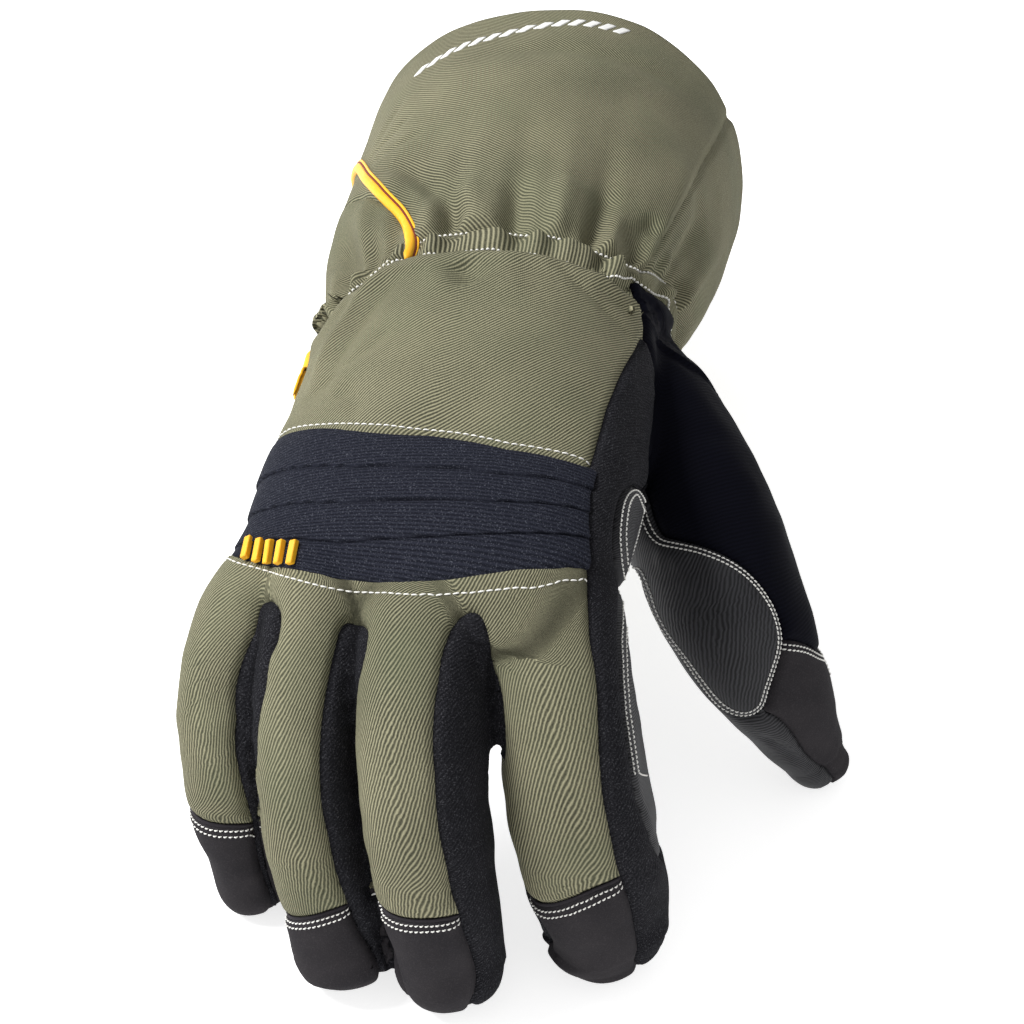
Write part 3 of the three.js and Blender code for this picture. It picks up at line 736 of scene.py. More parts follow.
# %% The hand's folds
HAND_STROKES = [  # pixels, width, depth
    ([(456, 250), (462, 262), (474, 284)], 3.5, -1.8),
    ([(425, 256), (431, 270), (447, 296)], 3.0, 0.8),
    ([(505, 252), (508, 272), (515, 300)], 3.5, 0.7),
    ([(398, 262), (360, 300), (330, 345), (306, 392)], 2.2, 1.3),
    ([(404, 272), (368, 312), (338, 358), (314, 402)], 2.4, -1.0),
    ([(300, 405), (335, 372), (368, 350), (396, 322)], 1.6, -0.5),
    ([(330, 398), (346, 392), (356, 402), (354, 418)], 2.4, -0.7),
    ([(552, 262), (583, 290), (622, 326)], 1.3, -0.55),
    ([(566, 262), (596, 288), (630, 312)], 1.2, -0.45),
    ([(585, 266), (610, 284), (634, 300)], 1.0, -0.4),
    ([(598, 300), (618, 318), (634, 344)], 1.3, -0.45),
    ([(640, 330), (628, 372), (600, 425)], 2.6, 0.6),
    ([(212, 600), (232, 594), (246, 606)], 3.0, 0.5),
    ([(500, 745), (535, 752), (575, 745)], 4.0, -0.5),
    ([(365, 760), (395, 768), (425, 764)], 4.0, -0.5),
    ([(262, 748), (285, 756), (312, 752)], 4.0, -0.5),
    ([(186, 700), (205, 708), (232, 704)], 3.5, -0.5),
    ([(655, 560), (672, 556), (690, 566)], 2.5, 0.6),
    ([(650, 372), (668, 392), (690, 404)], 2.0, -0.5),
    ([(655, 330), (672, 352), (702, 372)], 2.0, -0.6),
    ([(668, 420), (694, 432), (730, 436)], 2.6, -0.35),
    ([(690, 490), (722, 492), (760, 486)], 2.6, -0.35),
    ([(760, 735), (780, 748), (806, 768)], 1.3, -0.8),
    ([(690, 700), (716, 720), (742, 742)], 1.6, -0.7),
    ([(640, 600), (650, 622), (664, 640)], 1.8, -0.7),
    ([(634, 610), (640, 640), (646, 672)], 2.0, 0.5),
]
tree = surface_tree(points, triangles)
strokes = [(seen_at(tree, line), width, depth) for line, width, depth in HAND_STROKES]
THUMB_RINGS = [(0.9, -0.4), (1.6, -0.35), (3.1, -0.3)]
for place, depth in THUMB_RINGS:
    strokes.append((TUBES["thumb"].points(place, np.arange(60, 200, 10.0)), 2.2, depth * 2))
for name in FINGER_NAMES:
    for place in (1.0, 1.25, 1.9, 2.2):
        strokes.append((TUBES[name].points(place, np.arange(125, 240, 10.0)), 1.6, -0.9))
for place in (5.3, 6.1, 6.7):
    strokes.append((TUBES["sleeve"].points(place, np.arange(125, 235, 8.0)), 3.0, -1.2))


# %% [markdown]
# ## Relief
# A sewn seam holds the cloth down and the padding lifts it in between. The distance from each point to the
# nearest seam gives both: a narrow groove at the seam, and a soft crown away from it. A patch that is sewn on top
# stands up from its edge at once.

# %% Seam relief
def seam_points(points, triangles, labels):
    low = np.full(len(points), 10**6)
    high = np.full(len(points), -1)
    for i in range(3):
        np.minimum.at(low, triangles[:, i], labels)
        np.maximum.at(high, triangles[:, i], labels)
    return low != high


def distance_to(points, marked):
    tree = KDTree(int(marked.sum()))
    for i, p in enumerate(points[marked]):
        tree.insert(p, i)
    tree.balance()
    return np.array([tree.find(p)[2] for p in points])


def irregular(angle, counts=((16, 1.0), (23, 0.55), (37, 0.4)), seed=3):
    """The uneven in and out of gathered cloth, round the wrist."""
    random = np.random.default_rng(seed)
    return sum(size * np.cos(np.radians(angle) * n + random.uniform(0, 6.28)) for n, size in counts)


def above_floor(points):
    points[:, 2] = np.maximum(points[:, 2], 0)
    return points


normals = vertex_normals(points, triangles)
away = distance_to(points, seam_points(points, triangles, labels))
below = np.maximum(columns[:, 0], 0)
relief = 0.3 - 0.9 * bell(away, 1.1) - 0.7 * np.exp(-away / 4.5)
relief += stroke_relief(points, strokes) + columns[:, -5]
relief += 0.25 * waves(points, 5, 14, 26) + 0.1 * waves(points, 6, 14, 9)
relief += 1.0 * bell(below - 6, 4) - 1.4 * bell(below, 1.3)
relief += 0.35 * np.exp(-below / 6) * irregular(columns[:, -1])
base_points = points
points = above_floor(points + normals * relief[:, None])

# %% [markdown]
# ## Panels as pieces
# Each panel is a cloth wall with a thickness. The same outside is copied inwards along the smooth directions of
# the whole skin, and a rim joins the two, so the walls of neighbours meet without a gap.

# %% Walls
HAND_WALL = 2.2
CUFF_WALL = 2.0
OVERLAY = {"little_cap": 0.35, "ring_cap": 0.35, "middle_cap": 0.35, "index_cap": 0.35, "thumb_cap": 0.3,
           "thumb_patch": 0.5}
RIB_SLANT = {"hand_back_panel": 46, "finger_back_panel": 62, "gauntlet_back": -42, "gauntlet_underside": 35,
             "wrist_gather": -42, "knuckle_band": 0, "thumb_patch": 50}
SLOTS = {s["node"]: s["material_slot"] for s in frame["record"]["subparts"]}
pieces = {}


def wall_mesh(outer, inner, triangles):
    """A closed wall between an outside and an inside that have the same triangles."""
    edges = np.concatenate([triangles[:, [0, 1]], triangles[:, [1, 2]], triangles[:, [2, 0]]])
    key = np.sort(edges, axis=1) @ np.array([len(outer), 1])
    _, first, count = np.unique(key, return_index=True, return_counts=True)
    rim = edges[first[count == 1]]
    n = len(outer)
    a, b = rim[:, 0], rim[:, 1]
    rims = [np.stack([b, a, a + n], 1), np.stack([b, a + n, b + n], 1)]
    return np.concatenate([outer, inner]), np.concatenate([triangles, triangles[:, ::-1] + n] + rims)


def finish_piece(piece, node=None):
    piece.data.polygons.foreach_set("use_smooth", [True] * len(piece.data.polygons))
    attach(piece, "root")
    if node:
        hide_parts(node)
    pieces[piece.name] = piece


def add_panel(node, points, triangles, normals, cloth, wall):
    used, index = np.unique(triangles, return_inverse=True)
    index = index.reshape(-1, 3)
    inner = points[used] - normals[used] * wall
    inner[:, 2] = np.maximum(inner[:, 2], wall * (points[used, 2] < wall))
    outer, faces = wall_mesh(points[used], inner, index)
    piece = make_object(node + "_cloth", outer, faces)
    slant = np.radians(RIB_SLANT.get(node, 0))
    along, around = cloth[used, 0], cloth[used, 1]
    across_ribs = along * np.cos(slant) + around * np.sin(slant)
    down_ribs = around * np.cos(slant) - along * np.sin(slant)
    for key, values in (("across_ribs", across_ribs), ("down_ribs", down_ribs)):
        attribute = piece.data.attributes.new(key, "FLOAT", "POINT")
        attribute.data.foreach_set("value", np.tile(values, 2).astype(np.float32))
    finish_piece(piece, node)


for k, name in enumerate(names):
    if name == "knuckle_band":
        continue
    lift = OVERLAY.get(name, 0) * (1 - bell(away, 0.5))
    lifted = above_floor(points + normals * lift[:, None])
    add_panel(name, lifted, triangles[labels == k], normals, columns[:, -4:-2], HAND_WALL)
skin_tree = surface_tree(base_points, triangles)
bpy.data.objects.remove(skin)

# %% [markdown]
# ## The knuckle band
# The band is one strip with four pleats. Each pleat rises towards its lower edge and drops there to where the
# next one starts, so the strip needs rows of faces exactly at its edges. It is laid out as its own grid, and rays
# from outside bring it down onto the skin.

# %% Knuckle band
PLEATS = 4
PLEAT_RISE = 0.62
TUCK = 0.03
BAND_WIDTH = 36.0
BAND_LENGTH = 170
BAND_RADIUS = 40
pleat_steps = np.array([0, 0.03, 0.08, 0.16, 0.28, 0.42, 0.58, 0.72, 0.84, 0.93, 0.975, 0.995])
t_rows = np.append((np.arange(PLEATS)[:, None] + pleat_steps[None, :]).ravel() / PLEATS, 1.0)
t_rows = np.sort(np.concatenate([t_rows, t_rows[:-1] + np.diff(t_rows) / 2, [-TUCK, 1 + TUCK]]))
s_columns = np.concatenate([[-0.008], np.linspace(0, 1, 230), [1.008]])
t_grid, s_grid = (g.ravel() for g in np.meshgrid(t_rows, s_columns, indexing="ij"))
top, bottom = spread(BAND_TOP, s_grid), spread(BAND_BOTTOM, s_grid)
low, high = spread(BAND_LOW, t_grid), spread(BAND_HIGH, t_grid)
band_place, band_angle = top + (bottom - top) * t_grid, low + (high - low) * s_grid
band_outside = TUBES["sleeve"].points(band_place, band_angle, 0.0, 1.6)
band_centre = TUBES["sleeve"].sections(band_place)[1]
band_points = np.array([
    skin_tree.ray_cast(Vector(o), Vector(c - o).normalized())[0] or Vector(o)
    for o, c in zip(band_outside, band_centre)
])
band_normals = unit(band_outside - band_centre)
across_mm, around_mm = t_grid * BAND_WIDTH, s_grid * BAND_LENGTH
edge_gap = np.minimum.reduce([across_mm, BAND_WIDTH - across_mm, around_mm, BAND_LENGTH - around_mm])
fraction = (t_grid * PLEATS) % 1.0
fraction = np.where(t_grid > 0.9999, 1.0, fraction)
wander = 1 + 0.25 * np.sin(s_grid * 9 + np.floor(t_grid * PLEATS) * 2.1)
groove = 0.45 * bell(fraction - 0.02, 0.05) * (t_grid > 0.9 / PLEATS)
pleat = PLEAT_RISE * wander * (fraction ** 0.8 - 0.4) - groove
band_relief = 0.35 - 0.5 * bell(edge_gap, 0.8) - 0.3 * np.exp(-np.maximum(edge_gap, 0) / 4)
band_relief += np.interp(edge_gap, [0, 3], [-0.1, 0])
band_relief += pleat * np.clip(edge_gap / 1.5, 0, 1) + 0.12 * waves(band_points, 8, 12, 14)
band_relief = np.where(edge_gap < -0.1, -2.0, band_relief)
band_points = band_points + band_normals * band_relief[:, None]
per_row = len(s_columns)
band_faces = []
for i in range(len(t_rows) - 1):
    a = i * per_row + np.arange(per_row - 1)
    next_a = a + per_row
    band_faces += [np.stack([a, a + 1, next_a], 1), np.stack([a + 1, next_a + 1, next_a], 1)]
band_faces = faced_along(band_points, np.concatenate(band_faces), band_normals)
band_cloth = np.stack([band_place * 22, band_angle * np.radians(BAND_RADIUS)], axis=1)
add_panel("knuckle_band", band_points, band_faces, band_normals, band_cloth, HAND_WALL)

# %% [markdown]
# ## The gauntlet and its gather
# Elastic is sewn inside the wrist in two rows. Cloth between them puffs out in small uneven puckers, and from the
# upper row folds run up into the gauntlet and fade. The gauntlet is a grid, so its rows and columns carry the
# puckers directly. It is cut along its seams in the same way as the hand.

# %% Gauntlet form
PIPED_PLACES = [0, 0.6, 1.2, 1.56, 1.9, 2.26, 2.54, 2.8, 3.1, 4.5]
PIPED_SEAM = [-115, -106, -94, -80, -60, -43, -32, -26.5, -23, -24]
THUMB_SEAM = [69, 67, 65, 62, 60]
PLACE_MM = 34
DEGREE_MM = 0.75
CUFF_RADIUS = 42
row_steps = np.concatenate([np.linspace(0, 1, 150, endpoint=False), np.linspace(1, 2, 30), [2.1, 2.3, 2.5]])
cuff_angles = np.arange(-180, 180, 0.75)
step_grid, angle_grid = (g.ravel() for g in np.meshgrid(row_steps, cuff_angles, indexing="ij"))
sleeve = TUBES["sleeve"]
upper_row, lower_row = gather_row(UPPER_ROW, angle_grid), gather_row(LOWER_ROW, angle_grid)
rim = np.interp(angle_grid, [-180, -110, -80, -20, 30, 60, 100, 180], [0, 0, 0.09, 0.09, 0.02, 0.06, 0, 0])
place_grid = np.select(
    [step_grid < 1, step_grid < 2],
    [rim + step_grid * (upper_row - rim), upper_row + (step_grid - 1) * (lower_row - upper_row)],
    lower_row + (step_grid - 2) * 0.8,
)
up_mm = np.interp(place_grid, sleeve.stops, run_of(sleeve))
up_mm = np.interp(upper_row, sleeve.stops, run_of(sleeve)) - up_mm
swirl = angle_grid + 3.5 * np.sin(np.radians(angle_grid * 3)) * np.clip(up_mm / 40, 0, 1)
folds = irregular(swirl) * np.exp(-np.maximum(up_mm, 0) / 14) * np.clip(up_mm / 3, 0, 1) * 2.1
broad = irregular(swirl, ((7, 1.0), (11, 0.8)), 9) * bell(up_mm - 26, 22) * 0.8
in_ring = np.clip(step_grid - 1, 0, 1)
ring_width = np.clip((lower_row - upper_row) * 2.5, 0.3, 1)
pucker = irregular(angle_grid, ((23, 1.0), (34, 0.7), (14, 0.6)), 4)
pucker *= np.interp(angle_grid, [-180, -62, -45], [0.6, 0.35, 1])
ring = np.sin(np.pi * in_ring) * (1.3 + 1.15 * pucker) * ring_width
rows_pinch = -0.6 * bell(up_mm, 0.9) - 0.6 * bell(step_grid - 2, 0.15)
elastic = -1.2 * np.exp(-np.maximum(up_mm, 0) / 10)
tucked = -2.4 * np.clip((step_grid - 2) / 0.3, 0, 1)
slim = -3.6 * bell(angle_grid + 80, 30) * np.interp(place_grid, [0, 1.3, 1.9], [1, 1, 0])
slim += 1.6 * np.exp(-((angle_grid + 76) / 22) ** 2 - ((place_grid - 2.5) / 0.6) ** 2)
slim -= 1.8 * bell(angle_grid - 108, 30) * np.interp(place_grid, [0, 0.5, 1.1], [1, 0.7, 0])
hem = 0.3 * bell(place_grid * PLACE_MM, 1.2)
piped = np.interp(place_grid, PIPED_PLACES, PIPED_SEAM)
thumb_side = np.interp(place_grid, [0, 0.75, 1.5, 2.25, 3], THUMB_SEAM)
seam_gap = np.minimum(np.abs(angle_grid - piped), np.abs(angle_grid - thumb_side)) * DEGREE_MM
seam_groove = 0.8 * bell(seam_gap, 1.2)
cuff_out = folds + broad + ring + rows_pinch + elastic + tucked + slim + hem - seam_groove
cuff_flat = sleeve.points(place_grid, angle_grid)
quads = np.array(ring_faces(len(row_steps), len(cuff_angles)))
cuff_triangles = np.concatenate([quads[:, [0, 1, 2]], quads[:, [0, 2, 3]]])
outward = unit(cuff_flat - sleeve.sections(place_grid)[1])
cuff_triangles = faced_along(cuff_flat, cuff_triangles, outward)
cuff_levels = np.stack([
    np.full_like(place_grid, 1.0),
    -up_mm,
    np.minimum(angle_grid - piped, thumb_side - angle_grid) * DEGREE_MM,
], axis=1)
cuff_cloth = [np.interp(place_grid, sleeve.stops, run_of(sleeve)), angle_grid * np.radians(CUFF_RADIUS)]
cuff_columns = np.concatenate([cuff_levels, np.stack([*cuff_cloth, step_grid, cuff_out], 1)], axis=1)
cuff_names = ["wrist_gather", "gauntlet_back", "gauntlet_underside"]
cuff_base, cuff_triangles, cuff_columns, cuff_labels = cut_panels(
    cuff_flat, cuff_triangles, cuff_columns, cuff_names
)

# %% Gauntlet folds
CUFF_STROKES = [
    ([(390, 166), (413, 170), (438, 189), (453, 213), (456, 226)], 3.2, -2.0),
    ([(384, 176), (405, 186), (424, 204), (436, 226)], 4.0, 1.0),
    ([(367, 160), (388, 136), (412, 112)], 1.3, -0.6),
    ([(369, 166), (396, 148), (424, 126)], 1.5, -0.6),
    ([(372, 150), (386, 124), (402, 100)], 1.2, -0.5),
    ([(527, 232), (521, 206), (512, 178)], 3.5, -1.9),
    ([(562, 232), (566, 205), (572, 178)], 5.0, 1.6),
    ([(596, 240), (604, 214), (618, 186)], 3.4, -1.5),
    ([(486, 226), (474, 204), (460, 180)], 4.0, 1.0),
    ([(624, 250), (634, 232), (650, 226), (655, 244)], 2.6, -1.4),
    ([(640, 232), (664, 200), (690, 160)], 5.0, 0.8),
    ([(470, 60), (560, 48), (640, 66), (690, 96)], 3.5, -0.7),
    ([(345, 205), (362, 222), (384, 240)], 3.5, 1.2),
    ([(336, 250), (352, 262), (372, 262)], 4.5, -2.2),
    ([(338, 282), (350, 272), (366, 268)], 2.5, -1.5),
    ([(700, 190), (704, 230), (688, 268)], 5.0, -1.0),
    ([(672, 262), (690, 250), (706, 226)], 3.0, -1.1),
    ([(655, 262), (676, 282), (690, 304)], 2.4, -1.2),
]
cuff_tree = surface_tree(cuff_base, cuff_triangles)
cuff_strokes = [(seen_at(cuff_tree, line), width, depth) for line, width, depth in CUFF_STROKES]
UNDERSIDE_FOLDS = [(1.2, 150, -1.5), (1.5, 200, -1.6), (1.1, 235, -1.4), (1.9, 175, 1.2), (2.2, 120, -1.2)]
for place, angle, depth in UNDERSIDE_FOLDS:
    line = sleeve.points(np.linspace(place, 3.0, 8), angle + 12 * np.sin(np.linspace(0, 2, 8)))
    cuff_strokes.append((line, 4.0, depth))
cuff_normals = vertex_normals(cuff_base, cuff_triangles)
cuff_relief = cuff_columns[:, -1] + stroke_relief(cuff_base, cuff_strokes)
cuff_relief += 0.25 * waves(cuff_base, 11, 14, 40) + 0.1 * waves(cuff_base, 12, 14, 12)
cuff_points = above_floor(cuff_base + cuff_normals * cuff_relief[:, None])
for k, name in enumerate(cuff_names):
    panel = cuff_triangles[cuff_labels == k]
    add_panel(name, cuff_points, panel, cuff_normals, cuff_columns[:, -4:-2], CUFF_WALL)

# %% [markdown]
# ## Stitches
# A stitch row runs beside a seam at an even distance, so it is a contour: the line where a panel's level has one
# value. The contour is cut into equal steps, and each step gets a short thread that dips into the cloth at both
# ends. All the threads of a row are made at once from one small shape.

# %% Contours
def contour(points, triangles, normals, level, value):
    """Lines along a level's value: lists of (point, normal), chained from triangle to triangle."""
    above = level > value
    inside = above[triangles].sum(1)
    crossed = triangles[(inside == 1) | (inside == 2)]
    ends = {}
    spots = {}
    for triangle in crossed:
        cut = []
        for a, b in ((0, 1), (1, 2), (2, 0)):
            first, second = sorted((int(triangle[a]), int(triangle[b])))
            if above[first] != above[second]:
                t = (value - level[first]) / (level[second] - level[first])
                spots[first, second] = (
                    points[first] * (1 - t) + points[second] * t, normals[first] * (1 - t) + normals[second] * t,
                )
                cut.append((first, second))
        ends.setdefault(cut[0], []).append(cut[1])
        ends.setdefault(cut[1], []).append(cut[0])
    lines = []
    left = set(ends)
    for start in sorted(ends, key=lambda edge: len(ends[edge])):
        if start not in left:
            continue
        line, current = [], start
        while current is not None:
            left.discard(current)
            line.append(current)
            current = next((edge for edge in ends[current] if edge in left), None)
        if len(line) > 6:
            lines.append((np.array([spots[e][0] for e in line]), np.array([spots[e][1] for e in line])))
    return lines


def smoothed(line, rounds=3):
    for _ in range(rounds):
        line = np.concatenate([line[:1], (line[:-2] + 2 * line[1:-1] + line[2:]) / 4, line[-1:]])
    return line


def even_steps(line, normals, step):
    line = smoothed(line)
    run = run_along(line)
    count = max(int(run[-1] / step), 2)
    at = np.linspace(0, run[-1], count + 1)
    places = np.stack([np.interp(at, run, line[:, i]) for i in range(3)], 1)
    facing = unit(np.stack([np.interp(at, run, normals[:, i]) for i in range(3)], 1))
    return places, facing


THREAD_RINGS = np.array([  # share of the length, radius, height
    (-0.5, 0.07, -0.14), (-0.32, 0.17, 0.06), (0, 0.2, 0.15), (0.32, 0.17, 0.06), (0.5, 0.07, -0.14),
])
THREAD_SIDES = 6


def thread_rows(name, lines, pitch=1.35, length=1.12, size=1.0, slant=0.12, lift=0.05):
    """Short threads along each line, as one object."""
    centres, aheads, ups = [], [], []
    for line, normals in lines:
        places, facing = even_steps(line, normals, pitch)
        centres.append((places[1:] + places[:-1]) / 2)
        aheads.append(unit(places[1:] - places[:-1]))
        ups.append(unit(facing[1:] + facing[:-1]))
    centres, aheads, ups = (np.concatenate(v) for v in (centres, aheads, ups))
    sides = unit(np.cross(ups, aheads))
    aheads = unit(aheads + sides * slant)
    sides = unit(np.cross(ups, aheads))
    turn = np.arange(THREAD_SIDES) * 2 * np.pi / THREAD_SIDES
    run = THREAD_RINGS[:, 0:1] * length + 0 * turn
    across = THREAD_RINGS[:, 1:2] * np.cos(turn) * size
    up = THREAD_RINGS[:, 1:2] * np.sin(turn) * size + THREAD_RINGS[:, 2:3] + lift
    shape = np.stack([run, across, up], -1).reshape(-1, 3)
    points = (
        centres[:, None] + shape[None, :, 0:1] * aheads[:, None] + shape[None, :, 1:2] * sides[:, None]
        + shape[None, :, 2:3] * ups[:, None]
    )
    faces = ring_faces(len(THREAD_RINGS), THREAD_SIDES, closed_ends=True)
    count = shape.shape[0]
    all_faces = [tuple(v + i * count for v in face) for i in range(len(centres)) for face in faces]
    piece = turn_outwards(make_object(name, points.reshape(-1, 3), all_faces))
    finish_piece(piece)


def rows_beside(panel, value, on, limit=None):
    """The contour of a panel's level on some panels, only where another panel's level is above a limit."""
    chosen = np.isin(labels, [names.index(name) for name in on])
    if limit:
        other, least = limit
        level = columns[:, 1 + names.index(other)]
        chosen &= (level[triangles] > least).all(1)
    lift = max([OVERLAY.get(name, 0) for name in on])
    top_points = points + normals * lift
    return contour(top_points, triangles[chosen], normals, columns[:, 1 + names.index(panel)], value)


# %% Stitch rows
SIDE_ROWS_END = 776  # pixel row
rows = []
for name in FINGER_NAMES:
    for value in (1.0, 2.1):
        rows += rows_beside("finger_back_panel", -value, [name + "_cap"])
for value in (1.0, 2.1):
    rows += rows_beside("thumb_cap", value, ["thumb_cap"], ("thumb_back_panel", -value - 0.6))
thread_rows("cap_stitches", rows, pitch=1.2, length=1.0, slant=0.2)
rows = []
for value in (0.7, 1.65):
    rows += rows_beside("thumb_patch", value, ["thumb_patch"])
    for line, facing in rows_beside("index_side_panel", -value, ["palm_panel"]):
        kept = photo_pixels(line)[:, 1] < SIDE_ROWS_END
        if kept.sum() > 6:
            rows.append((line[kept], facing[kept]))
thread_rows("patch_stitches", rows, pitch=1.15, length=0.98)
rows = []
for name in ("hand_back_panel", "finger_back_panel"):
    rows += rows_beside("knuckle_band", -1.2 - UNDER_BAND, [name])
thread_rows("band_stitches", rows, pitch=1.9, length=1.6, slant=0.05)
rows = []
for value in (1.0, 1.85):
    rows += contour(cuff_points, cuff_triangles, cuff_normals, cuff_columns[:, -2], value)
thread_rows("gather_stitches", rows, pitch=1.3, length=0.9, size=1.5, slant=0.0, lift=0.22)

# %% [markdown]
# ## Piping
# The piping is a yellow cord in a folded strip. A section is swept along the seam: a flattened oval for the cord,
# and two thin threads beside it for its shadow line and its pale edge.

# %% Sweep
def swept(name, line, normals, half_width, half_height, shift=0.0, lift=0.0, sides=14):
    places, facing = even_steps(line, normals, 0.8)
    ahead = unit(np.gradient(places, axis=0))
    side = unit(np.cross(facing, ahead))
    up = np.cross(ahead, side)
    turn = np.arange(sides) * 2 * np.pi / sides
    steps = np.arange(len(places))
    taper = np.clip(np.minimum(steps, steps[::-1]) / 2 + 0.25, 0, 1)[:, None, None]
    ring = side[:, None] * (np.cos(turn)[None, :, None] * half_width * taper + shift)
    ring = ring + up[:, None] * (np.sin(turn)[None, :, None] * half_height * taper + lift)
    points = (places[:, None] + ring).reshape(-1, 3)
    return turn_outwards(make_object(name, points, ring_faces(len(places), sides, closed_ends=True)))


def snapped(tree, line):
    hits = [tree.find_nearest(Vector(p)) for p in line]
    return np.array([h[0] for h in hits]), np.array([h[1] for h in hits])


cuff_surface = surface_tree(cuff_points, cuff_triangles)
hand_surface = surface_tree(points, triangles)
PIPING_PIXELS = [
    (353, 157), (355, 160), (357, 163), (359, 166), (361, 169), (363, 173), (368, 181), (383, 197), (398, 211),
    (409, 226), (413, 240), (411, 252), (405, 260),
]
seen_path = seen_at(cuff_surface, PIPING_PIXELS)
first_place, first_angle = (v[0] for v in sleeve.locate(seen_path[:1])[:2])
print("the piping comes into view at place", round(first_place, 2), "and angle", round(first_angle, 1))
hidden_places = np.linspace(0.1, first_place - 0.12, 14)
hidden_path = sleeve.points(hidden_places, first_angle - 6 - 30 * (first_place - hidden_places))
HAND_PIPING = np.array([[4.55, -72], [4.75, -73], [4.95, -72], [5.15, -72]])
for label, path, tree, node in (
    ("gauntlet", np.concatenate([hidden_path, seen_path]), cuff_surface, "gauntlet_piping"),
    ("hand", sleeve.points(*HAND_PIPING.T), hand_surface, "hand_piping"),
):
    run = run_along(path)
    path = np.stack([np.interp(np.linspace(0, run[-1], 90), run, path[:, i]) for i in range(3)], 1)
    path, facing = snapped(tree, smoothed(path, 12))
    path, facing = smoothed(path, 12), unit(smoothed(facing, 14))
    finish_piece(swept(label + "_piping_cord", path, facing, 1.25, 1.0, 0.0, 0.3), node)
    finish_piece(swept(label + "_piping_shadow", path, facing, 0.3, 0.3, 1.3, 0.6))
    finish_piece(swept(label + "_piping_edge", path, facing, 0.35, 0.35, 1.85, 0.4))

# %% Folded edges of the caps
for name in FINGER_NAMES:
    edges = rows_beside("finger_back_panel", -0.15, [name + "_cap"])
    line, facing = max(edges, key=lambda edge: len(edge[0]))
    finish_piece(swept(name + "_cap_edge", line, facing, 0.5, 0.3, lift=0.05))

# %% [markdown]
# ## The tab and the reflective bars
# A small moulded tab of slanted bars sits on the band, and a row of printed slanted bars follows the rim. Both
# are plain. Each bar of the tab is a cube that is sized in edit mode, sheared by sliding its corners sideways,
# bevelled, and set on the band by a ray.

# %% Tab
band_surface = surface_tree(band_points, band_faces)
TAB_BARS = [(249, 549), (260, 551), (271, 552), (282, 553), (294, 553)]
tab_parts = []
for x, y in TAB_BARS:
    spot, normal, _, _ = band_surface.ray_cast(*camera_ray(x, y))
    normal = normal if normal.dot(Vector(forward)) < 0 else -normal
    across = (Vector(rightward) - normal * normal.dot(Vector(rightward))).normalized()
    up = normal.cross(across)
    bpy.ops.mesh.primitive_cube_add(size=1)
    bar = bpy.context.active_object
    bpy.ops.object.mode_set(mode="EDIT")
    bpy.ops.transform.resize(value=(1.75 * MM, 5.4 * MM, 1.7 * MM))
    bpy.ops.object.mode_set(mode="OBJECT")
    for vertex in bar.data.vertices:
        vertex.co.x += vertex.co.y * 0.22
    apply_modifier(bar, "BEVEL", width=0.35 * MM, segments=3)
    bar.data.transform(Matrix((across, up, normal)).transposed().to_4x4())
    bar.data.transform(Matrix.Translation((spot + normal * 0.75) * MM))
    tab_parts.append(bar)
tab = join_pieces(tab_parts)
tab.name = "band_tab_bars"
finish_piece(tab, "band_tab")
tab.data.polygons.foreach_set("use_smooth", [False] * len(tab.data.polygons))

# %% Reflective bars
BAR_ARC = ([-33, -22, -8, 8, 22, 26], [0.64, 0.54, 0.46, 0.3, 0.24, 0.24])
BAR_WIDE, BAR_TALL, BAR_SLANT = 2.4, 0.105, 2.4
BAR_ROWS, BAR_COLUMNS = 5, 8
u, v = np.meshgrid(np.linspace(-0.5, 0.5, BAR_ROWS), np.linspace(-0.5, 0.5, BAR_COLUMNS), indexing="ij")
u, v = u.ravel(), v.ravel()
corners = np.array([i * BAR_COLUMNS + j for i in range(BAR_ROWS - 1) for j in range(BAR_COLUMNS - 1)])
above_corners = corners + BAR_COLUMNS
bar_grid = np.concatenate([
    np.stack([corners, corners + 1, above_corners], 1),
    np.stack([corners + 1, above_corners + 1, above_corners], 1),
])
bar_points, bar_faces = [], []
for angle in np.linspace(-32, 24, 14):
    bar_places = np.interp(angle, *BAR_ARC) + v * BAR_TALL
    spots = sleeve.points(bar_places, angle + u * BAR_WIDE - v * BAR_SLANT, 2.0)
    spots, facing = snapped(cuff_surface, spots)
    outward = unit(spots - sleeve.sections(bar_places)[1])
    facing = facing * np.sign((facing * outward).sum(1, keepdims=True))
    grid = faced_along(spots, bar_grid, facing)
    outer, faces = wall_mesh(spots + facing * 0.22, spots - facing * 0.2, grid)
    bar_faces.append(faces + sum(len(p) for p in bar_points))
    bar_points.append(outer)
bars = make_object("rim_bars", np.concatenate(bar_points), np.concatenate(bar_faces))
finish_piece(bars)

# %% [markdown]
# ## Materials
# Each finish is written as arithmetic on sockets. A small class turns + and * into Math nodes, so a formula in
# the script reads like the formula in a book. Every cloth has its own scale: the ribs of the twill, the band and
# the leather are about two thirds of a millimetre apart, and those of the fleece and the stretch cloth nearly one.

# %% Sockets as numbers
TAU = 6.2832


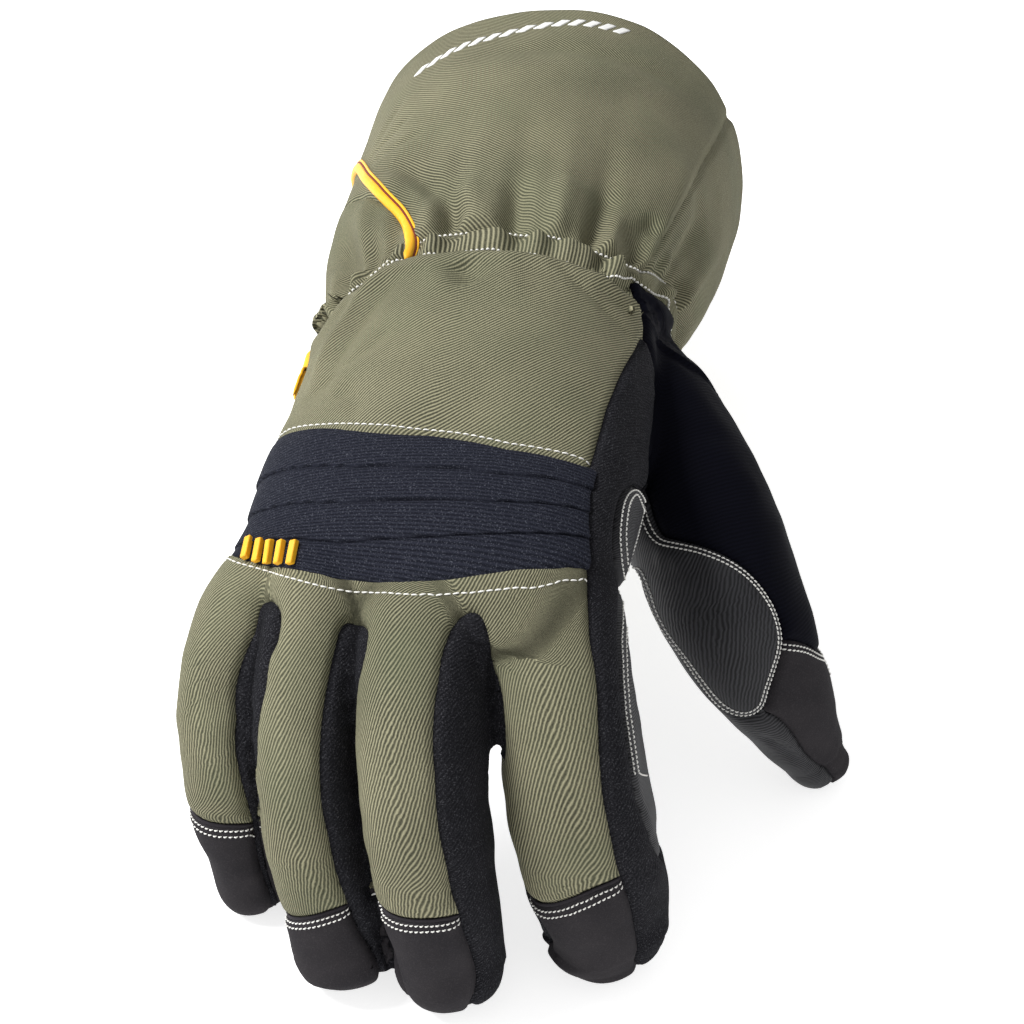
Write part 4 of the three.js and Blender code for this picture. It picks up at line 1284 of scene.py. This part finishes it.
class Value:
    def __init__(self, board, socket):
        self.board, self.socket = board, socket

    def math(self, operation, *values):
        inputs = {i: v for i, v in enumerate(values)}
        return self.board.node("Math", inputs, operation=operation)

    def __add__(self, other):
        return self.math("ADD", self, other)

    __radd__ = __add__

    def __sub__(self, other):
        return self.math("SUBTRACT", self, other)

    def __rsub__(self, other):
        return self.math("SUBTRACT", other, self)

    def __mul__(self, other):
        return self.math("MULTIPLY", self, other)

    __rmul__ = __mul__

    def __pow__(self, other):
        return self.math("POWER", self, other)

    def wave(self):
        """A wave from 0 to 1 of an angle in radians."""
        return self.math("SINE", self) * 0.5 + 0.5

    def ribs(self, pitch):
        """Soft ribs from 0 to 1, one to each pitch in millimetres."""
        return (self * (TAU / pitch)).wave()

    def clamped(self):
        return self.math("MINIMUM", self.math("MAXIMUM", self, 0.0), 1.0)


def linear(hex_colour):
    """A colour as a painter writes it, such as 62644c, in Blender's linear light."""
    parts = [int(hex_colour[i:i + 2], 16) / 255 for i in (0, 2, 4)]
    return tuple(((c + 0.055) / 1.055) ** 2.4 if c > 0.04 else c / 12.92 for c in parts) + (1.0,)


class Board:
    def __init__(self, name):
        self.material = bpy.data.materials.new(name)
        self.material.use_nodes = True
        self.tree = self.material.node_tree
        self.tree.nodes.clear()

    def node(self, kind, inputs=None, out=0, **settings):
        made = self.tree.nodes.new("ShaderNode" + kind)
        for key, value in settings.items():
            setattr(made, key, value)
        for key, value in (inputs or {}).items():
            if isinstance(value, Value):
                self.tree.links.new(value.socket, made.inputs[key])
            else:
                made.inputs[key].default_value = value
        return Value(self, made.outputs[out]) if len(made.outputs) else made

    def attribute(self, name):
        return self.node("Attribute", out="Fac", attribute_name=name)

    def millimetres(self):
        place = self.node("TexCoord", out="Object")
        return self.node("VectorMath", {0: place, 3: 1000.0}, operation="SCALE")

    def noise(self, size, detail=2.0):
        """Noise whose grain is about size mm."""
        inputs = {"Vector": self.millimetres(), "Scale": 1.0 / size, "Detail": detail}
        return self.node("TexNoise", inputs)

    def mix(self, factor, first, second):
        """One hex colour over another colour. The first may also be the result of a mix."""
        first = linear(first) if isinstance(first, str) else first
        return self.node("Mix", {0: factor, 6: first, 7: linear(second)}, out=2, data_type="RGBA")

    def finish(self, colour, roughness, height, depth_mm, gloss=0.5, **fixed):
        bump = self.node("Bump", {"Height": height, "Distance": depth_mm * MM, "Strength": 1.0})
        inputs = {"Base Color": colour, "Roughness": roughness, "Normal": bump, **fixed}
        shader = self.node("BsdfPrincipled", {**inputs, "Specular IOR Level": gloss})
        self.node("OutputMaterial", {"Surface": shader})
        return self.material


# %% Finishes
def olive_twill():
    board = Board("olive_twill")
    across, down = board.attribute("across_ribs"), board.attribute("down_ribs")
    wobble = board.noise(14.0) * 0.35
    ribs = (across + wobble).ribs(0.66)
    twist = (down * (TAU / 0.5) + across * (TAU / 0.66)).wave()
    slub = board.noise(0.45, 3.0)
    height = ribs * 0.75 + twist * ribs * 0.25 + slub * 0.25
    worn = board.noise(38.0, 3.0)
    shade = (ribs ** 1.6 * 0.8 + slub * 0.45 + (worn - 0.5) * 0.4 - 0.12).clamped()
    colour = board.mix(shade, "34352a", "a09c80")
    tint = ((board.noise(24.0) - 0.45) * 2.2).clamped()
    colour = board.mix(tint * 0.35, colour, "58624a")
    return board.finish(colour, 0.9, height, 0.16, gloss=0.12)


def ribbed_band():
    board = Board("ribbed_band")
    across, down = board.attribute("across_ribs"), board.attribute("down_ribs")
    ribs = (across + board.noise(4.0) * 0.25).ribs(0.72)
    grain = board.noise(0.32, 3.0)
    loops = down.ribs(0.5)
    height = ribs * 0.6 + grain * 0.6 + loops * ribs * 0.2
    speck = ((grain - 0.56) * 7.0).clamped()
    colour = board.mix(ribs * 0.55 + grain * 0.3, "0c0e16", "2b2d38")
    colour = board.mix(speck * 0.5, colour, "62656f")
    return board.finish(colour, 0.85, height, 0.16, gloss=0.08)


def fleece():
    board = Board("black_fleece")
    grain = board.noise(0.34, 3.0)
    across = board.attribute("across_ribs") + board.attribute("down_ribs") * 0.8
    ribs = (across + board.noise(2.0) * 0.8).ribs(0.95)
    speck = ((grain - 0.55) * 6.0).clamped()
    colour = board.mix(grain * 0.6 + ribs * 0.3, "0b0b0e", "2b2b2f")
    colour = board.mix(speck * 0.4, colour, "66666b")
    return board.finish(colour, 0.9, grain * 0.9 + ribs * 0.4, 0.25, gloss=0.06)


def stretch_cloth():
    board = Board("stretch_cloth")
    across = board.attribute("across_ribs")
    ribs = (across + board.noise(5.0) * 0.6).ribs(0.8)
    grain = board.noise(0.3)
    colour = board.mix(ribs * 0.35 + board.noise(20.0) * 0.3, "06060c", "10111c")
    return board.finish(colour, 0.8, ribs * 0.5 + grain * 0.3, 0.08, gloss=0.05)


def ribbed_leather():
    board = Board("ribbed_leather")
    across = board.attribute("across_ribs")
    ribs = (across + board.noise(9.0) * 1.4).ribs(0.62)
    grain = board.noise(0.25)
    colour = board.mix(ribs * 0.7 + board.noise(12.0) * 0.2, "0a0a0c", "3b3b3f")
    return board.finish(colour, 0.5 + grain * 0.2, ribs * 0.8 + grain * 0.2, 0.12, gloss=0.25)


def suede_cap():
    board = Board("suede_cap")
    grain = board.noise(0.35, 4.0)
    cloud = board.noise(9.0, 4.0)
    colour = board.mix(cloud * 0.8, "242326", "3a3739")
    colour = board.mix(((grain - 0.5) * 3.0).clamped() * 0.4, colour, "4d494b")
    return board.finish(colour, 0.9, grain, 0.14, gloss=0.06)


def trim(name, main, worn, roughness):
    board = Board(name)
    grain = board.noise(1.6, 3.0)
    colour = board.mix(grain * 0.6, main, worn)
    return board.finish(colour, roughness + grain * 0.15, board.noise(0.4), 0.05)


def thread_finish():
    board = Board("white_thread")
    grain = board.noise(0.25)
    colour = board.mix(board.noise(7.0) * 0.7, "f4f3ef", "c9c7c0")
    return board.finish(colour, 0.7, grain, 0.08)


# %% Finishes on pieces
finishes = {
    "olive_cloth": olive_twill(), "band_cloth": ribbed_band(), "fleece_cloth": fleece(),
    "stretch_cloth": stretch_cloth(), "black_leather": ribbed_leather(), "cap_leather": suede_cap(),
    "yellow_trim": trim("yellow_trim", "ffc021", "e79a0c", 0.45),
}
white_thread = thread_finish()
special = {
    "gauntlet_piping_shadow": trim("piping_shadow", "7a2b12", "4a180c", 0.7),
    "hand_piping_shadow": trim("hand_piping_shadow", "7a2b12", "4a180c", 0.7),
    "rim_bars": trim("reflective_print", "f2f2f0", "d4d4d2", 0.5),
}
special.update({row + "_stitches": white_thread for row in ("cap", "patch", "band", "gather")})
cap_edge = trim("cap_edge", "1a141c", "0e0b10", 0.8)
special.update({name + "_cap_edge": cap_edge for name in FINGER_NAMES})
for name, piece in pieces.items():
    node = name.removesuffix("_cloth")
    finish = special.get(name) or finishes[SLOTS[node] if node in SLOTS else "yellow_trim"]
    piece.data.materials.clear()
    piece.data.materials.append(finish)

# %% [markdown]
# ## Light and floor
# A pale floor and a pale sky light the glove from all round, as a photographer's tent does. One lamp above the
# little finger's side gives the cloth its direction, and a faint one lights the fingertips from the front.

# %% Light and floor
def area_lamp(name, place, power, size):
    data = bpy.data.lights.new(name, "AREA")
    data.energy, data.size = power, size
    lamp = bpy.data.objects.new(name, data)
    bpy.context.collection.objects.link(lamp)
    lamp.location = place
    lamp.rotation_euler = Vector(place).to_track_quat("Z", "Y").to_euler()


area_lamp("key_lamp", (-0.75, -0.1, 0.95), 17, 0.45)
area_lamp("front_lamp", (0.3, -1.3, 0.7), 1.5, 1.0)
world = bpy.data.worlds.new("studio")
world.use_nodes = True
sky = world.node_tree.nodes["Background"]
sky.inputs["Color"].default_value = (1, 1, 1, 1)
sky.inputs["Strength"].default_value = 0.46
bpy.context.scene.world = world
bpy.context.scene.view_settings.view_transform = "Standard"
bpy.ops.mesh.primitive_plane_add(size=6, location=(0, 0, 0))
floor = bpy.context.active_object
floor.name = "studio_floor"
paper = Board("pale_paper")
shade = paper.mix(paper.noise(300.0), "f4f4f4", "fafafa")
glow = {"Emission Color": (1, 1, 1, 1), "Emission Strength": 0.7}
floor.data.materials.append(paper.finish(shade, 0.9, paper.noise(2.0), 0.02, **glow))
